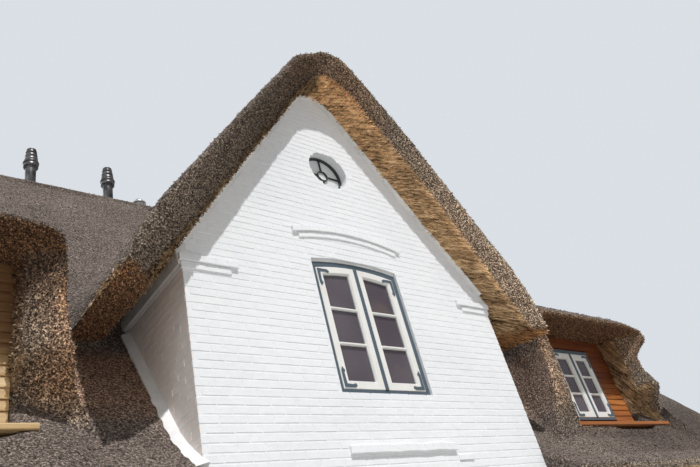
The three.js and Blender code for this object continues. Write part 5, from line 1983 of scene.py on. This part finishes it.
def first_inside(values, distances):
    """The first of the values at which the distance is negative, read between two samples."""
    at = int(np.argmax(distances < 0))
    if at == 0:
        return values[0]
    share = distances[at - 1] / (distances[at - 1] - distances[at])
    return values[at - 1] + share * (values[at] - values[at - 1])


def reed_meets_cheek(height):
    """Depth behind the gable's face at which the main roof's reed meets the cheek."""
    depths = np.arange(-0.45, 1.6, 0.01)
    level_at = np.full_like(depths, min(height, JUNCTION_TOP))
    beside = np.full_like(depths, GABLE_HALF + 0.02)
    found = first_inside(depths, thatch(beside, depths - HALF_DEPTH, level_at))
    return found + max(height - JUNCTION_TOP, 0) / SLOPE


def cheek_spans(sign):
    """Stretches of a cheek, from the gable's face back to the roof. sign gives the wall's direction."""

    def spans_at(height):
        back = reed_meets_cheek(height) + BEHIND_REED
        return [tuple(sorted((-sign * BRICK_PROUD, sign * back)))]

    return spans_at


# the cheeks' bricks carry the painted warm light
for name, sign, wall, seed in (("left", -1, ON_LEFT_CHEEK, 27), ("right", 1, ON_RIGHT_CHEEK, 28)):
    turn = sign * math.pi / 2
    lay("cheek_bricks_" + name, cheek_spans(sign), CHEEK_LOW, CHEEK_HIGH, wall, turn, seed, CHEEK_BRICK_WARM_BOUNCE)

# %% Joints between the bricks
WALLS = ("gable_wall", "rear_wall", "front_wall_left", "front_wall_right", "end_wall_left", "end_wall_right")


def refinish(nodes, finish):
    """Gives CAD pieces whose shape is right a better finish."""
    for node in nodes:
        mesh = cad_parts[node].data
        for index in range(len(mesh.materials)):
            mesh.materials[index] = finish
        print(node, "->", finish.name)


refinish(WALLS, WHITE_JOINTS)
refinish(("gable_cheek_left", "gable_cheek_right"), CHEEK_JOINTS_WARM_BOUNCE)

# %% [markdown]
# ## Mouldings of brick on edge
# Two thin courses stand out over the window, one over the door, and a pair ends each foot of the
# gable's rake. In the CAD they are plain bars. Here each is drawn again as single bricks with
# soft, slightly uneven edges under thick paint, from the same sizes.

# %% Brick mouldings
MOULDING_BRICK = 0.115
SOFT_EDGE = 0.004


def moulding(joinery, start, end, top_at, high, out, place, seed):
    """A course that stands out from the wall. top_at(along) is its top line."""
    rng = np.random.default_rng(seed)
    count = max(round((end - start) / MOULDING_BRICK), 1)
    edges = np.linspace(start, end, count + 1)
    for left, right in zip(edges, edges[1:]):
        lift, push = rng.uniform(-0.001, 0.001), rng.uniform(-0.001, 0.001)
        top_left, top_right = top_at(left) + lift, top_at(right) + lift
        outline = [(left, top_left - high), (right, top_right - high), (right, top_right), (left, top_left)]
        joinery.slab(outline, -out + push, 0.01, SOFT_EDGE, place)


def level(height):
    """A level top line."""

    def top_at(along):
        return height

    return top_at


COURSE_HIGH = 0.070
COURSE_GAP = 0.002
UPPER_OUT, LOWER_OUT = 0.035, 0.017
LOWER_SHORTER = 0.075
HOOD_ENDS = 5.355
CORNICE_BACK = 1.15


def window_hood():
    """Two courses over the window in a flat arch, the lower one shorter."""
    left, right, _, high, _ = box_on_front("window_hood")

    def upper_line(along):
        return high - (high - HOOD_ENDS) * (along / right) ** 2

    def lower_line(along):
        return upper_line(along) - COURSE_HIGH - COURSE_GAP

    courses = Joinery("window_hood_courses")
    moulding(courses, left, right, upper_line, COURSE_HIGH, UPPER_OUT, ON_FRONT, 31)
    ends = (left + LOWER_SHORTER, right - LOWER_SHORTER)
    moulding(courses, *ends, lower_line, COURSE_HIGH, LOWER_OUT, ON_FRONT, 32)
    courses.done(WHITE_BRICK, "white_brick", "window_hood")


def door_hood():
    """A wavy course over the door, with a short piece of a lower one at its right end."""
    left, right, low, high, _ = box_on_front("door_hood")

    def wavy(along):
        return high + 0.004 * math.sin(17 * along) + 0.003 * math.sin(41 * along + 1)

    courses = Joinery("door_hood_courses")
    moulding(courses, left, right, wavy, COURSE_HIGH, UPPER_OUT, ON_FRONT, 33)
    moulding(courses, right + 0.01, right + 0.22, level(low - 0.045), 0.055, LOWER_OUT, ON_FRONT, 34)
    courses.done(WHITE_BRICK, "white_brick", "door_hood")


def cornice(side_name, away, cheek):
    """Two courses at the foot of a rake, on the front and back along the cheek."""
    left, right, _, high, _ = box_on_front("cornice_" + side_name)
    inner = min(abs(left), abs(right))
    courses = Joinery("cornice_courses_" + side_name)
    for row, (out, shorter, seed) in enumerate(((UPPER_OUT, 0.0, 35), (LOWER_OUT, LOWER_SHORTER, 36))):
        top = high - row * (COURSE_HIGH + COURSE_GAP)
        ends = sorted((away * (inner + shorter), away * (GABLE_HALF + out)))
        moulding(courses, *ends, level(top), COURSE_HIGH, out, ON_FRONT, seed)
        depths = sorted((0.0, away * CORNICE_BACK))
        moulding(courses, *depths, level(top), COURSE_HIGH * 0.8, out * 0.7, cheek, seed + 2)
    courses.done(WHITE_BRICK, "white_brick", "cornice_" + side_name)


window_hood()
door_hood()
cornice("left", -1, ON_LEFT_CHEEK)
cornice("right", 1, ON_RIGHT_CHEEK)

# %% [markdown]
# ## Mortar under the reed
# Where the reed meets the gable the joint is filled with a smooth mortar cove, and a second
# strip of mortar seals the cheeks to the main roof, in small steps at its foot. Both are one
# section drawn along a path. The path is found from the roof's own distance: the place on the
# wall where it changes sign.

# %% Mortar cove along the rakes
COVE_DOWN = 0.050
COVE_OUT = 0.042
COVE_STEPS = 6


def soffit_height(x, out):
    """Height at which the gable's reed begins above the wall, out in front of it."""
    heights = np.arange(4.3, 8.2, 0.01)
    body, _, _, _ = gable_thatch(np.full_like(heights, x), np.full_like(heights, -HALF_DEPTH - out), heights)
    return first_inside(heights, body)


def mortar_finish(name):
    f = Finish(name)
    point = f.place()
    blotches = f.noise(point, 5.0, 4.0)
    grit = f.noise(point, 120.0, 3.0)
    tone = f.blend(blotches.step(0.35, 0.7) * 0.6, (0.82, 0.82, 0.81), (0.62, 0.62, 0.61))
    return f.use(Base_Color=tone, Roughness=grit * 0.15 + 0.7, Normal=f.bump(grit + blotches, 0.004, 0.6))


MORTAR = mortar_finish("white_mortar")
cove = Joinery("mortar_cove")
sections = []
path = np.linspace(-GABLE_HALF + 0.01, GABLE_HALF - 0.01, 61)
soffit = np.array([soffit_height(x, COVE_OUT * 0.5) for x in path])
rng = np.random.default_rng(41)
for x, z, pitch in zip(path, soffit, np.gradient(soffit, path)):
    down = np.array([pitch, -1.0]) / math.hypot(pitch, 1.0)
    wobble = rng.uniform(-0.004, 0.004)
    section = [(x - 0.03 * down[0], -HALF_DEPTH + 0.02, z - 0.03 * down[1])]
    section.append((x - 0.03 * down[0], -HALF_DEPTH - COVE_OUT, z - 0.03 * down[1]))
    for step in range(COVE_STEPS + 1):
        angle = math.pi / 2 * step / COVE_STEPS
        out = COVE_OUT * (1 - 0.92 * math.sin(angle))
        drop = (COVE_DOWN + wobble) * (1 - math.cos(angle)) + 0.004
        section.append((x + drop * down[0], -HALF_DEPTH - out, z + drop * down[1]))
    section.append((section[-1][0], -HALF_DEPTH + 0.02, section[-1][2]))
    sections.append(section)
cove.loft(sections, on_house)
cove.done(MORTAR, "white_brick")
print("cove from", round(float(soffit[0]), 2), "to", round(float(soffit.max()), 2), "m high")

# %% Mortar strips beside the cheeks
STRIP_WIDE = 0.080
STRIP_HIGH = 0.045
STRIP_EDGE = 0.014
STEP_HEIGHT = 0.15
STRIP_FROM = {"left": 2.90, "right": 3.10}
ROOF_UP = np.array([0.0, -math.sin(math.atan(SLOPE)), math.cos(math.atan(SLOPE))])

for away, wall_name in ((-1, "left"), (1, "right")):
    strip = Joinery("cheek_mortar_" + wall_name)
    sections = []
    rng = np.random.default_rng(43 + away)
    for height in np.arange(STRIP_FROM[wall_name], 4.60, 0.025):
        stepped = 0.008 * ((height / STEP_HEIGHT) % 1.0 < 0.5) * ramp(-height, -3.9, -3.6)
        wide = STRIP_WIDE + stepped + rng.uniform(-0.005, 0.005)
        foot = np.array([away * GABLE_HALF, reed_meets_cheek(height) - HALF_DEPTH, height])
        outwards = np.array([away, 0.0, 0.0])
        sections.append([
            foot - 0.01 * outwards - 0.05 * ROOF_UP,
            foot + wide * outwards - 0.05 * ROOF_UP,
            foot + wide * outwards + STRIP_EDGE * ROOF_UP,
            foot + (wide * 0.45) * outwards + (STRIP_EDGE + STRIP_HIGH) * 0.55 * ROOF_UP,
            foot + 0.006 * outwards + STRIP_HIGH * ROOF_UP,
            foot - 0.01 * outwards + STRIP_HIGH * ROOF_UP,
        ])
    strip.loft(sections, on_house)
    strip.done(MORTAR, "white_brick")

# %% Mortar along the tops of the cheeks
BAND_FRONT, BAND_BACK = -0.001, 1.35
# The band's section: distance from the gable's middle, and height
BAND = (
    (GABLE_HALF - 0.10, 4.60),
    (GABLE_HALF + 0.035, 4.66),
    (GABLE_HALF + 0.065, 4.90),
    (GABLE_HALF - 0.10, 5.0),
)

for away, wall_name in ((-1, "left"), (1, "right")):
    band = Joinery("cheek_top_mortar_" + wall_name)
    sections = []
    for depth in np.linspace(BAND_FRONT, BAND_BACK, 20):
        sections.append([(away * from_middle, depth - HALF_DEPTH, height) for from_middle, height in BAND])
    band.loft(sections, on_house)
    band.done(MORTAR, "white_brick")

# %% Mortar over the window's head
left, right, low, high, front = box_on_front("gable_window_frame")
fill = Joinery("window_head_mortar")
upper = arched(right, low, high - ARCH_RISE, ARCH_RISE)[2:]
lower = upper - (0, HEAD_FILL)
fill.slab([*lower[::-1], *upper], front - 0.012, front + 0.06, 0.004, ON_FRONT)
fill.done(MORTAR, "white_brick")

# %% [markdown]
# ## Vent pipes
# Two tall pipes with ringed heads and a low one with a dome stand behind the ridge. A pipe is a
# profile turned about its axis, and each profile keeps the reach of the plain pipe in the CAD:
# its top and its place are read from the CAD piece.

# %% Vent pipes
PIPE_STEPS = 40
PIPE_RADIUS = 0.080
PIPE_FOOT = 8.05
TALL_HEAD = [
    (0.395, 0.080), (0.388, 0.102), (0.378, 0.110), (0.330, 0.112), (0.322, 0.104), (0.312, 0.104),
    (0.305, 0.119), (0.290, 0.1195), (0.282, 0.117), (0.276, 0.100), (0.262, 0.094), (0.246, 0.100),
    (0.236, 0.1015), (0.196, 0.099), (0.188, 0.085), (0.176, 0.080), (0.166, 0.090), (0.156, 0.0935),
    (0.120, 0.090), (0.112, 0.074), (0.100, 0.070), (0.090, 0.080), (0.080, 0.0845), (0.052, 0.082),
    (0.044, 0.070), (0.034, 0.068), (0.026, 0.076), (0.012, 0.074), (0.004, 0.066), (0.0, 0.050),
]
LOW_HEAD = [
    (0.140, 0.080), (0.128, 0.084), (0.122, 0.112), (0.116, 0.1155), (0.104, 0.1155), (0.098, 0.110),
    (0.092, 0.090), (0.076, 0.084), (0.060, 0.078), (0.042, 0.068), (0.026, 0.054), (0.012, 0.036),
    (0.003, 0.016),
]


def metal_finish(name, dark, light):
    f = Finish(name)
    point = f.place()
    soot = f.noise(point, 6.0, 4.0)
    brushed = f.noise(f.place((1, 1, 14)), 20.0, 2.0)
    tone = f.blend(soot.step(0.4, 0.7), light, dark)
    rough = soot * 0.3 + brushed * 0.15 + 0.15
    return f.use(Base_Color=tone, Metallic=0.85, Roughness=rough, Normal=f.bump(brushed, 0.001, 0.4))


DARK_METAL = metal_finish("dark_metal_pipe", (0.055, 0.055, 0.060), (0.16, 0.155, 0.155))
BRIGHT_METAL = metal_finish("weathered_zinc_dome", (0.35, 0.36, 0.37), (0.60, 0.61, 0.62))
for number, head in ((1, TALL_HEAD), (2, TALL_HEAD), (3, LOW_HEAD)):
    lowest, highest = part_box(f"vent_pipe_{number}")
    centre_x, centre_y = (lowest[0] + highest[0]) / 2, (lowest[1] + highest[1]) / 2
    top = highest[2]
    profile = [(PIPE_RADIUS, PIPE_FOOT - top), (PIPE_RADIUS, -head[0][0] - 0.02)]
    profile += [(radius, -below) for below, radius in head]
    loops = []
    for radius, rise in profile:
        loops.append([(centre_x + x, centre_y + y, top + rise) for x, y in circle(radius, 0.0, PIPE_STEPS)])
    pipe = Joinery(f"vent_pipe_{number}_detailed")
    pipe.loft(loops, on_house)
    made = pipe.done(BRIGHT_METAL if number == 3 else DARK_METAL, "dark_metal", f"vent_pipe_{number}")
    smoothed(made.data)

# %% [markdown]
# ## Front door, floors and the rest
# The front door is a panelled leaf in a blue-grey frame with a light over it. The CAD pieces have
# the right shape, so they keep it and get a finish, and raised panels are added to the leaf.

# %% Door and floors
DOOR_PAINT = paint_finish("door_gloss_paint", (0.060, 0.085, 0.115), 0.3)


def floor_finish(name, dark, light, stretch=(1, 1, 1)):
    f = Finish(name)
    grain = f.noise(f.place(stretch), 6.0, 5.0, 0.6)
    grit = f.noise(f.place(), 90.0, 3.0)
    colour = f.blend(grain.step(0.3, 0.7), dark, light)
    return f.use(Base_Color=colour, Roughness=grit * 0.2 + 0.65, Normal=f.bump(grit, 0.003, 0.6))


SCREED = floor_finish("screed_floor", (0.30, 0.285, 0.26), (0.40, 0.385, 0.36))
DECK = floor_finish("attic_deck", (0.30, 0.19, 0.09), (0.48, 0.33, 0.18), (0.3, 9.0, 9.0))
refinish(("ground_floor",), SCREED)
refinish(("attic_floor",), DECK)
refinish(("door_frame",), BLUE_GREY)
refinish(("front_door",), DOOR_PAINT)
refinish(("door_light",), GLASS)

left, right, low, high, front = box_on_front("front_door")
panels = Joinery("front_door_panels")
for across in (-1, 1):
    for bottom, top in ((low + 0.12, low + 0.62), (low + 0.74, low + 1.24), (low + 1.36, high - 0.12)):
        edges = sorted((across * 0.06, across * (right - 0.10)))
        field = rectangle(edges[0], edges[1], bottom, top)
        panels.frame(np.array(field), 0.028, front - 0.012, front + 0.002, 0.004, ON_FRONT, (0.012, 0.010))
        panels.slab(inset(field, 0.055), front - 0.008, front + 0.002, 0.018, ON_FRONT)
panels.done(DOOR_PAINT, "door_paint")
